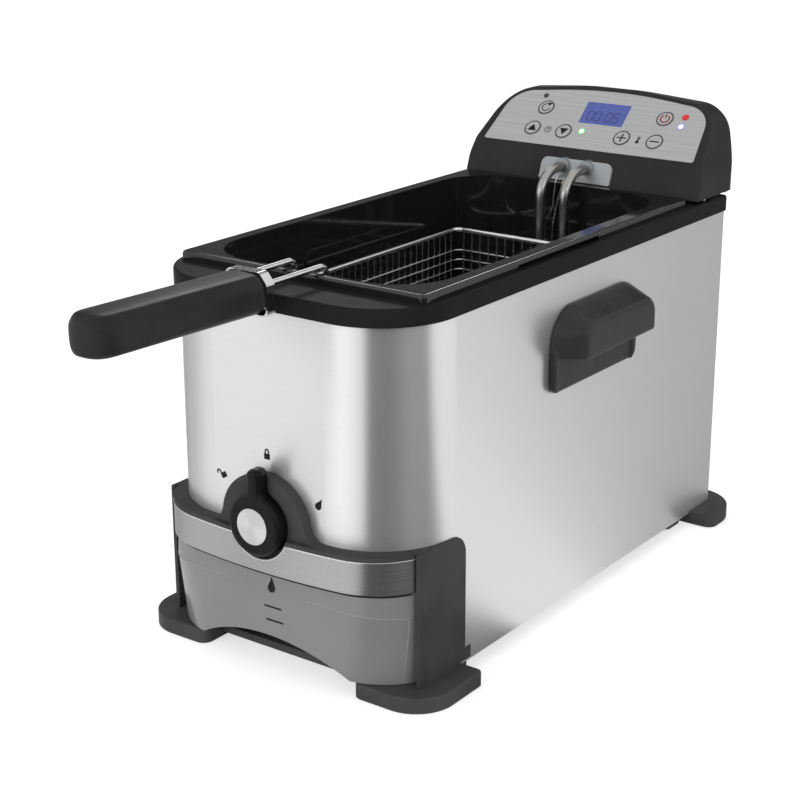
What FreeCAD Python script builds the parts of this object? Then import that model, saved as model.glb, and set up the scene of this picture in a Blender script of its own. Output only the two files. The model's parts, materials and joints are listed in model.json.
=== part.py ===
import FreeCAD, Part
import math
import os

Vector = FreeCAD.Vector

# A deep fryer with a drain valve and an oil container below its bowl.
# X runs across, Y from the front to the back and Z up from the surface it stands on.
# All values are millimetres and degrees. The model is drawn about the middle of the
# housing and moved at the end, so that the middle of its whole length lies at Y = 0.

# Housing wrap
housing_width = 220.0
housing_length = 446.0
housing_bottom = 9.5
housing_height = 253.5
wrap_thickness = 1.0
housing_front_radius = 62.0
housing_rear_radius = 2.0
wrap_cut_depth = 70.0
wrap_cut_drop = 13.5

# Top rim
rim_overhang = 1.5
rim_front_radius = 57.0
rim_skirt = 5.0
rim_height = 12.5
rim_plate = 3.0
peg_socket_wall = 3.0
rim_edge_radius = 2.0
rim_collar_depth = 8.0
rim_collar_wall = 2.5

# Oil bowl
side_ledge = 5.0
front_ledge = 33.0
flange_side_strip = 12.0
flange_front_strip = 6.0
flange_rear_strip = 8.0
flange_height = 6.0
flange_radius = 5.0
flange_roll_radius = 2.5
bowl_wall = 1.2
bowl_depth = 140.0
bowl_taper = 7.0
bowl_floor_bevel = 9.0
bowl_floor_rise = 14.0
opening_radius = 44.0
bowl_clearance = 1.6
finger_notch_back = 143.0
finger_notch_length = 108.0
finger_notch_height = 3.4
level_pad_length = 112.0
level_pad_height = 20.0
level_pad_depth = 1.4
level_pad_drop = 34.0

# Drain and valve
drain_back = 118.0
drain_radius = 6.0
spout_radius = 9.0
spout_drop = 12.5
spout_clearance = 0.3
spout_engagement = 6.0
gasket_thickness = 2.0
valve_half_width = 17.0
valve_length = 38.0
valve_end_wall = 4.0
plug_radius = 8.5
port_radius = 4.0
plug_clearance = 0.05
plug_open_angle = 60.0
outlet_radius = 8.0
outlet_drop = 7.0
deck_thickness = 1.5
valve_axis_drop = 11.8
deck_drop = 24.0
deck_gap = 1.5

# Control head
head_overhang = 19.0
head_depth = 68.0
head_gap = 2.5
head_height = 73.2
head_front_rise = 28.0
head_front_lean = 10.0
panel_tilt = 41.7
head_wall = 2.5
head_knee_rise = 14.4
head_knee_radius = 30.0
head_side_draft = 12.6
head_shoulder_drop = 7.8
head_peak_rise = 1.0
head_corner_radius = 30.0
head_arch_radius = 440.0
head_fold_radius = 8.0
head_top_radius = 3.0
head_back_drop = 7.2
head_back_radius = 4.0
head_plan_radius = 14.0
head_floor_thickness = 2.5
head_gap_flange = 7.0
peg_radius = 5.0
peg_length = 18.0
peg_spread = 70.0
peg_clearance = 0.3
rest_pad_size = 14.0
rest_pad_spread = 92.0

# Control plate and what shows in it
plate_side_margin = 11.0
plate_top_margin = 17.5
plate_side_height = 53.0
plate_peak = 65.0
plate_corner_radius = 24.0
plate_arch_radius = 400.0
plate_thickness = 1.0
plate_proud = 0.3
key_radius = 7.3
key_gap = 0.3
key_proud = 0.3
key_disc = 2.2
key_stem_radius = 2.0
key_travel = 0.6
key_slack = 0.2
switch_size = 6.0
switch_height = 3.5
board_depth = 9.0
board_thickness = 1.6
board_side_margin = 28.0
board_low = 6.0
board_high = 52.0
lamp_radius = 2.2
lamp_gap = 0.15
window_width = 41.0
window_height = 22.6
window_x = 2.0
window_a = 38.0
window_thickness = 1.2
module_margin = 1.5

# Heating element
heater_x = -4.5
tube_radius = 4.0
tube_spread = 11.2
tube_height = 14.0
tube_reach = 32.0
tube_entry = 26.0
tube_hole_depth = 30.0
tube_bend = 22.0
loop_bend = 12.0
loop_outer = 58.0
loop_inner = 24.0
loop_front_gap = 48.0
loop_inner_rear = 55.0
bracket_half_width = 33.3
bracket_shift = 1.2
bracket_thickness = 2.5
bracket_low = 2.5
bracket_high = 20.5
collar_radius = 6.8
collar_length = 1.0
clip_thickness = 1.2
clip_height = 18.0
clip_level = 52.0
bulb_radius = 2.2
bulb_length = 62.0
bulb_spread = 3.6
bulb_shift = -7.0
capillary_radius = 0.6
capillary_drop = 5.0
capillary_bend = 5.0
capillary_entry = 20.0

# Basket
basket_side_gap = 16.0
basket_front_gap = 20.0
basket_rear_gap = 30.5
basket_depth = 89.0
basket_seat_gap = 0.3
basket_drop = 38.5
basket_wire_radius = 2.0
net_thickness = 1.2
net_wire = 2.6
net_pitch = 19.0
basket_corner_radius = 7.0
hinge_forward = 10.4
hinge_above_rim = 7.0
ear_thickness = 2.0
ear_spread = 18.0
ear_wall = 2.4
bracket_plate = 2.0
bracket_drop = 14.0

# Basket handle
handle_wire_radius = 2.0
handle_wire_spread = 13.6
handle_bend = 7.0
handle_over_flange = 3.6
hinge_clearance = 0.08
trunnion_bend = 4.0
trunnion_reach = 7.0
ferrule_distance = 60.0
ferrule_length = 8.0
ferrule_wall = 1.0
grip_length = 147.0
grip_width = 36.0
grip_height = 27.3
grip_side_height = 21.0
grip_top_width = 24.0
grip_top_end_width = 17.0
grip_drop = 19.4
grip_tilt = 1.7
grip_end_radius = 17.5
grip_butt_radius = 6.0
grip_top_end_radius = 4.0
grip_low_radius = 4.0
grip_side_radius = 5.0
grip_top_radius = 4.0
wire_in_grip = 20.0

# Front frame, band and bow
front_reach = 13.5
pillar_proud = 0.8
band_return = 14.0
pillar_thickness = 3.0
pillar_front = 20.0
pillar_rear = 74.0
pillar_round = 16.0
pillar_toe_length = 7.0
pillar_toe_height = 9.0
bow_crown_radius = 490.0
bow_corner_radius = 53.0
lip_drop = 7.5
lip_thickness = 3.0
band_height = 23.7
band_thickness = 0.8
frame_wall = 3.0
dome_reach = 8.0
dome_radius = 36.0
dome_drop = 2.0
dome_flare = 12.0
dome_low_drop = 29.0

# Knob
knob_gap = 0.5
knob_base_radius = 22.5
knob_base_rim = 2.5
knob_face_radius = 17.5
knob_depth = 10.5
knob_edge_radius = 2.0
knob_notch_gap = 2.5
pointer_reach = 42.0
pointer_half_width = 8.2
pointer_root_half_width = 10.0
pointer_depth = 8.0
pointer_tip_radius = 5.0
pointer_edge_radius = 1.5
cap_radius = 13.0
cap_thickness = 1.6
cap_proud = 0.6
shaft_radius = 4.0
shaft_clearance = 0.06
bush_wall = 4.0
bush_flange = 3.0
bush_flange_thickness = 2.5

# Side handles
handle_centre = 17.5
handle_length = 127.0
handle_low = 177.0
handle_plate = 3.0
handle_cheek = 6.0
handle_cheek_width = 6.0
handle_plate_top = 209.0
handle_plate_radius = 9.0
handle_plate_rear = 9.0
hood_low = 204.0
hood_wall_top = 240.0
hood_face_top = 229.0
hood_reach = 24.0
hood_taper = 14.0
hood_wall = 3.5
hood_edge_radius = 5.0
hood_wall_radius = 29.0
hood_face_radius = 11.0
handle_screw_spread = 40.0
handle_screw_rise = 14.0
handle_screw_skin = 0.8

# Base, feet and drawer bay
base_gap = 0.3
floor_rise = 0.5
floor_thickness = 3.0
base_front = 32.0
bay_side_margin = 11.0
bay_wall = 2.5
bay_front = 38.0
bay_rear_wall = 325.0
runner_height = 2.5
runner_width = 6.0
runner_spread = 70.0
foot_thickness = 11.2
foot_lift = 0.5
foot_proud = 19.5
foot_front = 1.5
foot_length = 67.5
foot_inside = 43.5
foot_radius = 30.0
foot_inner_radius = 8.0
foot_rear_radius = 4.0
foot_heel = 16.0
foot_heel_lift = 1.0
foot_edge_radius = 1.5
rear_foot_proud = 21.5
rear_foot_front = 35.5
rear_foot_back = 18.5
rear_foot_inside = 22.0
rear_foot_radius = 35.5
rear_foot_front_radius = 8.0
crossbar_front = 20.0
crossbar_depth = 15.0
crossbar_low = 4.5
rib_length = 24.0
rib_gap = 4.0
rib_inside = 26.0
rib_low = 2.0
rib_radius = 5.0
pad_length = 26.0
pad_width = 16.0
pad_recess = 2.0
pad_back = 42.0
pad_rear = 12.0
pad_inset = 10.0
pad_radius = 4.0

# Fasteners
screw_radius = 1.5
screw_head_radius = 3.0
screw_head_height = 2.0
screw_length = 14.0
boss_radius = 3.5
base_screw_front = 103.0
base_screw_rear = 73.0
head_screw_front = 18.0
head_screw_rear = 12.0
head_screw_inset = 3.0

# Oil container
container_gap = 3.0
container_length = 264.0
container_wall = 2.0
container_headroom = 15.0
container_front = 29.0
panel_low = 12.5
panel_gap = 1.3
panel_draft = 6.0
panel_inset = 3.5
panel_wall = 2.5
panel_ridge_height = 64.5
panel_ridge_proud = 1.2
panel_side_gap = 0.4
panel_back = 31.0
arch_half_width = 66.0
arch_rise = 19.0
lid_length = 130.0
lid_thickness = 2.0
filter_half = 33.0
filter_thickness = 1.2
filter_pitch = 11.0
filter_wire = 4.0
filter_gap = 0.2
filter_corner_radius = 6.0
filter_ledge = 3.0
filter_ledge_drop = 1.2

# Power inlet
inlet_width = 36.0
inlet_height = 24.0
inlet_depth = 20.0
inlet_wall = 3.0
inlet_rise = 30.0
inlet_proud = 1.0
pin_radius = 2.0
pin_spread = 8.0
pin_length = 12.0
microswitch_size = (20.0, 8.0, 14.0)
microswitch_x = -50.0

# Values worked out from the sizes above
half_width = housing_width / 2
plate_half_width = half_width - plate_side_margin
plate_top_half_width = half_width - plate_top_margin
board_half_width = half_width - board_side_margin
bay_half_width = half_width - bay_side_margin
foot_inner = half_width - foot_inside
rear_foot_inner = half_width - rear_foot_inside
rib_inner = half_width - rib_inside
front_y = -housing_length / 2
rear_y = housing_length / 2
housing_top = housing_bottom + housing_height
rim_top = housing_top + rim_height
head_rear = rear_y + head_overhang
head_front = head_rear - head_depth
head_bottom = rim_top + head_gap
fold_y = head_front + head_front_lean
fold_z = head_bottom + head_front_rise
head_top = head_bottom + head_height
tilt = math.radians(panel_tilt)
flange_half = half_width - side_ledge
flange_front = front_y + front_ledge
flange_rear = head_front - head_gap_flange
flange_top = rim_top + flange_height
opening_half = flange_half - flange_side_strip
opening_front = flange_front + flange_front_strip
opening_rear = flange_rear - flange_rear_strip
bowl_floor = flange_top - bowl_depth
spout_bottom = bowl_floor - bowl_wall - spout_drop
knob_height = spout_bottom - valve_axis_drop
deck_height = knob_height - deck_drop
lip_top = knob_height - lip_drop
wrap_cut_top = lip_top - wrap_cut_drop
dome_low = knob_height - dome_low_drop
drain_y = front_y + drain_back
finger_notch_front = front_y + finger_notch_back
valve_low = deck_height + deck_thickness
valve_front = drain_y - valve_length / 2
valve_rear = drain_y + valve_length / 2
valve_top = spout_bottom + spout_engagement
knob_axis = Vector(0, 0, knob_height)
bow_front = front_y - front_reach
bow_half = half_width + pillar_proud
pillar_inner = bow_half - pillar_thickness
pillar_front_y = front_y + pillar_front
pillar_rear_y = front_y + pillar_rear
band_top = lip_top - lip_thickness
band_low = band_top - band_height
dome_front = front_y - dome_reach
dome_height = knob_height - dome_drop
knob_back = dome_front - knob_gap
knob_front = knob_back - knob_depth
tube_level = head_bottom + tube_height
tube_drop_y = head_front - tube_reach
basket_rim_level = flange_top - basket_drop
basket_half = opening_half - basket_side_gap
basket_front = opening_front + basket_front_gap
basket_rear = tube_drop_y - basket_rear_gap
basket_low = basket_rim_level - basket_depth
loop_level = basket_low - basket_seat_gap - tube_radius
net_top = basket_rim_level - basket_wire_radius
hinge_y = basket_front - hinge_forward
hinge_z = basket_rim_level + hinge_above_rim
wire_level = flange_top + handle_over_flange
ferrule_y = hinge_y - ferrule_distance
grip_start = ferrule_y - ferrule_length
grip_end = grip_start - grip_length
grip_low = wire_level - grip_drop
foot_top = foot_lift + foot_thickness
floor_low = housing_bottom + floor_rise
floor_top = floor_low + floor_thickness
tray_low = floor_top + runner_height
container_top = deck_height - container_headroom
tray_half = bay_half_width - container_gap
tray_front = front_y + container_front
tray_rear = tray_front + container_length
panel_top = band_low - panel_gap
panel_front_high = bow_front + panel_inset
panel_front_low = panel_front_high + panel_draft
lid_top = container_top + lid_thickness
key_places = {
    "key_reset": (-55.0, 38.5),
    "key_timer_up": (-57.7, 16.0),
    "key_timer_down": (-27.6, 16.0),
    "key_heat_up": (27.6, 16.0),
    "key_heat_down": (57.7, 16.0),
    "key_power": (57.0, 40.0),
}
lamp_places = {
    "lamp_change": (-61.0, 51.0),
    "lamp_filter": (-11.0, 18.0),
    "lamp_power": (74.0, 43.6),
    "lamp_ready": (74.0, 33.8),
}
board_boss_places = [(-76.0, 12.0), (76.0, 12.0), (-70.0, 46.0), (36.0, 47.0)]
whole_rear = max(head_rear + inlet_proud, rear_y + rear_foot_back)
whole_middle = (grip_end + whole_rear) / 2


# Drawing helpers
def at_height(z):
    return lambda u, v: Vector(u, v, z)


def at_depth(y):
    return lambda u, v: Vector(u, y, v)


def at_side(x):
    return lambda u, v: Vector(x, u, v)


def on_panel(raised):
    """Places (across, up the slope) on the sloped panel, raised along its outward normal."""
    def place(u, v):
        y = fold_y + v * math.cos(tilt) - raised * math.sin(tilt)
        z = fold_z + v * math.sin(tilt) + raised * math.cos(tilt)
        return Vector(u, y, z)
    return place


def panel_normal():
    return Vector(0, -math.sin(tilt), math.cos(tilt))


def rounded(points, radii, place):
    """Closed wire through corner points (u, v), each corner rounded by its own radius."""
    corners = [Vector(u, v, 0) for u, v in points]
    stations = []
    for i, radius in enumerate(radii):
        corner = corners[i]
        back = (corners[i - 1] - corner).normalize()
        ahead = (corners[(i + 1) % len(corners)] - corner).normalize()
        half = back.getAngle(ahead) / 2
        reach = radius / math.tan(half)
        inward = (back + ahead).normalize()
        middle = corner + inward * (radius / math.sin(half) - radius)
        stations.append((corner + back * reach, middle, corner + ahead * reach, radius))
    edges = []
    for i, (start, middle, end, radius) in enumerate(stations):
        before = stations[i - 1][2]
        a, b, c, d = (place(p.x, p.y) for p in (before, start, middle, end))
        if a.distanceToPoint(b) > 1e-6:
            edges.append(Part.LineSegment(a, b).toShape())
        if radius > 0:
            edges.append(Part.Arc(b, c, d).toShape())
    return Part.Wire(edges)


def box_corners(x0, x1, y0, y1):
    return [(x0, y0), (x1, y0), (x1, y1), (x0, y1)]


def plan_prism(points, radii, low, high):
    return Part.Face(rounded(points, radii, at_height(low))).extrude(Vector(0, 0, high - low))


def front_prism(points, radii, y0, y1):
    return Part.Face(rounded(points, radii, at_depth(y0))).extrude(Vector(0, y1 - y0, 0))


def side_prism(points, radii, x0, x1):
    return Part.Face(rounded(points, radii, at_side(x0))).extrude(Vector(x1 - x0, 0, 0))


def panel_prism(points, radii, low, high):
    wire = rounded(points, radii, on_panel(low))
    return Part.Face(wire).extrude(panel_normal() * (high - low))


def panel_round(place, radius, low, high):
    return Part.makeCylinder(radius, high - low, on_panel(low)(*place), panel_normal())


def block(x0, x1, y0, y1, z0, z1):
    return Part.makeBox(x1 - x0, y1 - y0, z1 - z0, Vector(x0, y0, z0))


def upright(x, y, radius, low, high):
    return Part.makeCylinder(radius, high - low, Vector(x, y, low), Vector(0, 0, 1))


def along_y(x, z, radius, y0, y1):
    return Part.makeCylinder(radius, y1 - y0, Vector(x, y0, z), Vector(0, 1, 0))


def along_x(y, z, radius, x0, x1):
    return Part.makeCylinder(radius, x1 - x0, Vector(x0, y, z), Vector(1, 0, 0))


def fuse(solids):
    whole = solids[0]
    for solid in solids[1:]:
        whole = whole.fuse(solid)
    return whole.removeSplitter()


def mirrored(shape):
    return shape.mirror(Vector(0, 0, 0), Vector(1, 0, 0))


def edges_at_height(shape, z):
    return [e for e in shape.Edges if abs(e.BoundBox.ZMin - z) < 1e-4 and abs(e.BoundBox.ZMax - z) < 1e-4]


def edges_at_depth(shape, y):
    return [e for e in shape.Edges if abs(e.BoundBox.YMin - y) < 1e-4 and abs(e.BoundBox.YMax - y) < 1e-4]


def bent_path(points, bends):
    """Straight runs joined by tangent arcs, one bend radius for each corner."""
    edges = []
    start = points[0]
    for before, corner, after, bend in zip(points, points[1:], points[2:], bends):
        back = (before - corner).normalize()
        ahead = (after - corner).normalize()
        half = back.getAngle(ahead) / 2
        reach = bend / math.tan(half)
        inward = (back + ahead).normalize()
        middle = corner + inward * (bend / math.sin(half) - bend)
        enter = corner + back * reach
        leave = corner + ahead * reach
        edges.append(Part.LineSegment(start, enter).toShape())
        edges.append(Part.Arc(enter, middle, leave).toShape())
        start = leave
    edges.append(Part.LineSegment(start, points[-1]).toShape())
    return Part.Wire(edges)


def rod(points, radius, bends):
    """Round bar along a bent path."""
    ring = Part.Wire(Part.makeCircle(radius, points[0], points[1] - points[0]))
    return bent_path(points, bends).makePipeShell([ring], True, False)


def inner_radius(radius, inset):
    return max(radius - inset, 0)


def housing_outline(grow):
    corners = box_corners(-half_width - grow, half_width + grow, front_y - grow, rear_y + grow)
    front = housing_front_radius + grow
    rear = housing_rear_radius + grow
    return corners, [front, front, rear, rear]


def flange_outline(grow):
    corners = box_corners(-flange_half - grow, flange_half + grow, flange_front - grow, flange_rear + grow)
    return corners, [flange_radius + grow] * 4


def opening_outline(grow):
    half = opening_half + grow
    corners = box_corners(-half, half, opening_front - grow, opening_rear + grow)
    return corners, [opening_radius + grow] * 4


def bowed_wire(front, inset, back, z):
    """Plan of the bowed front: a wide crown arc, two corner arcs and a straight back."""
    half = bow_half - inset
    corner = bow_corner_radius - inset
    crown = bow_crown_radius - inset
    corner_x = half - corner
    crown_y = front + inset + crown
    corner_y = crown_y - math.sqrt((crown - corner) ** 2 - corner_x ** 2)
    lean = math.asin(corner_x / (crown - corner))
    joint = Vector(corner_x + corner * math.sin(lean), corner_y - corner * math.cos(lean), z)
    turn = (math.pi / 2 + lean) / 2
    bend = Vector(corner_x + corner * math.sin(turn), corner_y - corner * math.cos(turn), z)
    end = Vector(half, corner_y, z)

    def other(point):
        return Vector(-point.x, point.y, z)

    right_back = Vector(half, back, z)
    edges = [
        Part.Arc(other(joint), Vector(0, front + inset, z), joint).toShape(),
        Part.Arc(joint, bend, end).toShape(),
        Part.LineSegment(end, right_back).toShape(),
        Part.LineSegment(right_back, other(right_back)).toShape(),
        Part.LineSegment(other(right_back), other(end)).toShape(),
        Part.Arc(other(end), other(bend), other(joint)).toShape(),
    ]
    return Part.Wire(edges)


def bowed_prism(inset, back, low, high):
    return Part.Face(bowed_wire(bow_front, inset, back, low)).extrude(Vector(0, 0, high - low))


def housing_solid():
    corners, radii = housing_outline(0)
    return plan_prism(corners, radii, housing_bottom, housing_top)


def screw(place, direction, length):
    """Plain screw: head at its place, shank along the direction."""
    head_end = place - direction * screw_head_height
    head = Part.makeCylinder(screw_head_radius, screw_head_height, head_end, direction)
    shank = Part.makeCylinder(screw_radius, length, place, direction)
    return head.fuse(shank)


# Housing
def handle_screw_places():
    return [(handle_centre + side * handle_screw_spread, handle_low + handle_screw_rise) for side in (-1, 1)]


def wrap_cut():
    """Space at the front of the housing that is left open for the container."""
    rear = front_y + wrap_cut_depth
    return block(-half_width - 5, half_width + 5, front_y - 5, rear, housing_bottom - 1, wrap_cut_top)


def housing_wrap():
    corners, radii = housing_outline(-wrap_thickness)
    shell = housing_solid().cut(plan_prism(corners, radii, housing_bottom - 1, housing_top + 1))
    shell = shell.cut(wrap_cut())
    shell = shell.cut(along_y(0, knob_height, shaft_radius + bush_wall, front_y - 5, front_y + 5))
    for y, z in handle_screw_places():
        shell = shell.cut(along_x(y, z, screw_radius, -half_width - 5, half_width + 5))
    return shell


def peg_places():
    return [(-peg_spread, (head_front + head_rear) / 2), (peg_spread, (head_front + head_rear) / 2)]


def rest_pad_places():
    front = head_front + rest_pad_size
    rear = rear_y - rest_pad_size
    return [(side * rest_pad_spread, y) for side in (-1, 1) for y in (front, rear)]


def rim_outline(grow):
    corners = housing_outline(grow)[0]
    front = rim_front_radius + grow - rim_overhang
    rear = inner_radius(housing_rear_radius + grow, 0)
    return corners, [front, front, rear, rear]


def top_rim():
    corners, radii = rim_outline(rim_overhang)
    outer = plan_prism(corners, radii, housing_top, rim_top)
    outer = outer.makeFillet(rim_edge_radius, edges_at_height(outer, rim_top))
    corners, radii = rim_outline(rim_overhang - rim_skirt)
    rim = outer.cut(plan_prism(corners, radii, housing_top - 1, rim_top - rim_plate))
    inner, inner_radii = opening_outline(bowl_wall + bowl_clearance)
    collar, collar_radii = opening_outline(bowl_wall + bowl_clearance + rim_collar_wall)
    collar_low = rim_top - rim_plate - rim_collar_depth
    rim = rim.fuse(plan_prism(collar, collar_radii, collar_low, rim_top - rim_plate))
    socket = peg_radius + peg_clearance
    for x, y in peg_places():
        rim = rim.fuse(upright(x, y, socket + peg_socket_wall, collar_low, rim_top))
    half = rest_pad_size / 2
    for x, y in rest_pad_places():
        rim = rim.fuse(block(x - half, x + half, y - half, y + half, rim_top - 1, head_bottom))
    rim = rim.cut(plan_prism(inner, inner_radii, collar_low - 1, rim_top + 1))
    for x, y in peg_places():
        rim = rim.cut(upright(x, y, socket, collar_low - 1, rim_top + 1))
    return rim.removeSplitter()


# Front
def dome_outline():
    """Dome behind the knob, flared at its foot into the top of the lip."""
    flare_z = lip_top + dome_flare
    reach = math.sqrt((dome_radius + dome_flare) ** 2 - (flare_z - dome_height) ** 2)
    share = dome_radius / (dome_radius + dome_flare)
    touch = Vector(reach * share, 0, dome_height + (flare_z - dome_height) * share)
    foot = Vector(reach, 0, lip_top)
    aim = (touch + foot) * 0.5 - Vector(reach, 0, flare_z)
    middle = Vector(reach, 0, flare_z) + aim.normalize() * dome_flare
    base = Vector(reach, 0, band_top)

    def other(point):
        return Vector(-point.x, 0, point.z)

    top = Vector(0, 0, dome_height + dome_radius)
    return Part.Wire([
        Part.LineSegment(base, foot).toShape(),
        Part.Arc(foot, middle, touch).toShape(),
        Part.Arc(touch, top, other(touch)).toShape(),
        Part.Arc(other(touch), other(middle), other(foot)).toShape(),
        Part.LineSegment(other(foot), other(base)).toShape(),
        Part.LineSegment(other(base), base).toShape(),
    ])


def band_space():
    """Room between the pillars that the band and the wall behind it keep to."""
    rear = pillar_front_y + band_return
    return block(-pillar_inner, pillar_inner, bow_front - 1, rear, 0, lip_top)


def front_frame():
    back = front_y + wrap_cut_depth
    lip = bowed_prism(0, pillar_rear_y - pillar_round, band_top, lip_top)
    wall = bowed_prism(band_thickness, back, band_low, band_top)
    wall = wall.cut(bowed_prism(band_thickness + frame_wall, back + 1, band_low - 1, band_top))
    wall = wall.common(band_space())
    frame = fuse([lip, wall])
    frame = frame.cut(along_y(0, knob_height, knob_base_radius + knob_notch_gap, bow_front - 1, dome_front))
    dome_face = Part.Face(dome_outline())
    dome_face.translate(Vector(0, dome_front, 0))
    dome = dome_face.extrude(Vector(0, dome_reach, 0))
    disc = along_y(0, dome_height, dome_radius, dome_front, front_y)
    disc = disc.common(block(-dome_radius, dome_radius, dome_front - 1, front_y + 1, dome_low, lip_top))
    frame = fuse([frame, dome, disc]).cut(housing_solid())
    corners = [(pillar_front_y, foot_top), (pillar_rear_y, foot_top)]
    corners += [(pillar_rear_y, lip_top), (pillar_front_y, lip_top)]
    pillar = side_prism(corners, [0, 0, pillar_round, 0], pillar_inner, bow_half)
    toe_top = foot_top + pillar_toe_height
    toe_rear = pillar_rear_y + pillar_toe_length
    toe = block(pillar_inner, bow_half, pillar_rear_y - 1, toe_rear, foot_top, toe_top)
    pillar = fuse([pillar, toe]).cut(housing_solid().cut(wrap_cut()))
    frame = fuse([frame, pillar, mirrored(pillar)])
    return frame.cut(along_y(0, knob_height, shaft_radius + bush_wall, bow_front, front_y + 1))


def front_band():
    back = front_y + wrap_cut_depth
    band = bowed_prism(0, back, band_low, band_top)
    band = band.cut(bowed_prism(band_thickness, back + 1, band_low - 1, band_top + 1))
    band = band.common(band_space())
    notch = along_y(0, knob_height, knob_base_radius + knob_notch_gap, bow_front - 1, dome_front)
    return band.cut(notch)


# Knob, shaft and valve
def filter_knob():
    half = knob_depth - knob_base_rim
    points = [Vector(0, 0, 0), Vector(knob_base_radius, 0, 0), Vector(knob_base_radius, -knob_base_rim, 0)]
    shoulder = Vector(knob_base_radius, -knob_base_rim, 0)
    edge = Vector(knob_face_radius, -knob_depth, 0)
    bulge = Vector(knob_base_radius - 1.3, -knob_base_rim - half * 0.62, 0)
    centre = Vector(0, -knob_depth, 0)
    profile = Part.Wire([
        Part.LineSegment(points[0], points[1]).toShape(),
        Part.LineSegment(points[1], points[2]).toShape(),
        Part.Arc(shoulder, bulge, edge).toShape(),
        Part.LineSegment(edge, centre).toShape(),
        Part.LineSegment(centre, points[0]).toShape(),
    ])
    body = Part.Face(profile).revolve(Vector(0, 0, 0), Vector(0, 1, 0), 360)
    corners = [(-pointer_root_half_width, 0), (pointer_root_half_width, 0)]
    corners += [(pointer_half_width, pointer_reach), (-pointer_half_width, pointer_reach)]
    pointer = front_prism(corners, [0, 0, pointer_tip_radius, pointer_tip_radius], -pointer_depth, 0)
    pointer = pointer.makeFillet(pointer_edge_radius, edges_at_depth(pointer, -pointer_depth))
    knob = fuse([body, pointer])
    recess = cap_thickness - cap_proud
    knob = knob.cut(along_y(0, 0, cap_radius, -knob_depth - 1, -knob_depth + recess))
    knob = knob.cut(along_y(0, 0, shaft_radius, -pointer_depth, 1))
    knob.translate(Vector(0, knob_back, knob_height))
    return knob


def knob_cap():
    back = knob_front + cap_thickness - cap_proud
    cap = along_y(0, knob_height, cap_radius, knob_front - cap_proud, back)
    return cap.makeFillet(cap_proud / 2, edges_at_depth(cap, knob_front - cap_proud))


def knob_shaft():
    return along_y(0, knob_height, shaft_radius, knob_back - pointer_depth, valve_front + plug_clearance)


def knob_bush():
    rear = front_y + wrap_thickness + bush_flange_thickness
    bush = along_y(0, knob_height, shaft_radius + bush_wall, dome_front, rear)
    flange = along_y(0, knob_height, shaft_radius + bush_wall + bush_flange, front_y + wrap_thickness, rear)
    bush = fuse([bush, flange])
    return bush.cut(along_y(0, knob_height, shaft_radius + shaft_clearance, dome_front - 1, rear + 1))


def valve_body():
    body = block(-valve_half_width, valve_half_width, valve_front, valve_rear, valve_low, valve_top)
    outlet = upright(0, drain_y, outlet_radius, valve_low - outlet_drop, valve_low)
    body = fuse([body, outlet])
    body = body.cut(upright(0, drain_y, port_radius, valve_low - outlet_drop - 1, valve_top + 1))
    seat = spout_bottom - gasket_thickness
    body = body.cut(upright(0, drain_y, spout_radius + spout_clearance, seat, valve_top + 1))
    return body.cut(along_y(0, knob_height, plug_radius, valve_front - 1, valve_rear - valve_end_wall))


def valve_plug():
    rear = valve_rear - valve_end_wall - plug_clearance
    plug = along_y(0, knob_height, plug_radius - plug_clearance, valve_front + plug_clearance, rear)
    port = upright(0, drain_y, port_radius, -2 * plug_radius, 2 * plug_radius)
    port.rotate(Vector(0, drain_y, 0), Vector(0, 1, 0), -plug_open_angle)
    port.translate(knob_axis)
    return plug.cut(port)


def valve_gasket():
    low = spout_bottom - gasket_thickness
    ring = upright(0, drain_y, spout_radius + spout_clearance, low, spout_bottom)
    return ring.cut(upright(0, drain_y, drain_radius, low - 1, spout_bottom + 1))


def inner_deck():
    half = half_width - wrap_thickness - deck_gap
    front = front_y + wrap_cut_depth + deck_gap
    rear = rear_y - wrap_thickness - deck_gap
    radii = [deck_gap, deck_gap, housing_rear_radius, housing_rear_radius]
    deck = plan_prism(box_corners(-half, half, front, rear), radii, deck_height, valve_low)
    return deck.cut(upright(0, drain_y, outlet_radius, deck_height - 1, valve_low + 1))


# Side handles
def handle_ends():
    return handle_centre - handle_length / 2, handle_centre + handle_length / 2


def hood_loft(inset, low):
    """Hood over the fingers: wide at the wall and narrower at its outer face."""
    near = half_width - 1.0 if inset else half_width
    front, rear = handle_ends()
    wall_corners = box_corners(front + inset, rear - inset, low, hood_wall_top - inset)
    taper = hood_taper + inset
    face_corners = box_corners(front + taper, rear - taper, low, hood_face_top - inset)
    reach = half_width + hood_reach - inset
    wall_radius = hood_wall_radius - inset
    face_radius = hood_face_radius - inset
    near_wire = rounded(wall_corners, [0, 0, wall_radius, wall_radius], at_side(near))
    far_wire = rounded(face_corners, [0, 0, face_radius, face_radius], at_side(reach))
    return Part.makeLoft([near_wire, far_wire], True, True)


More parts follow.
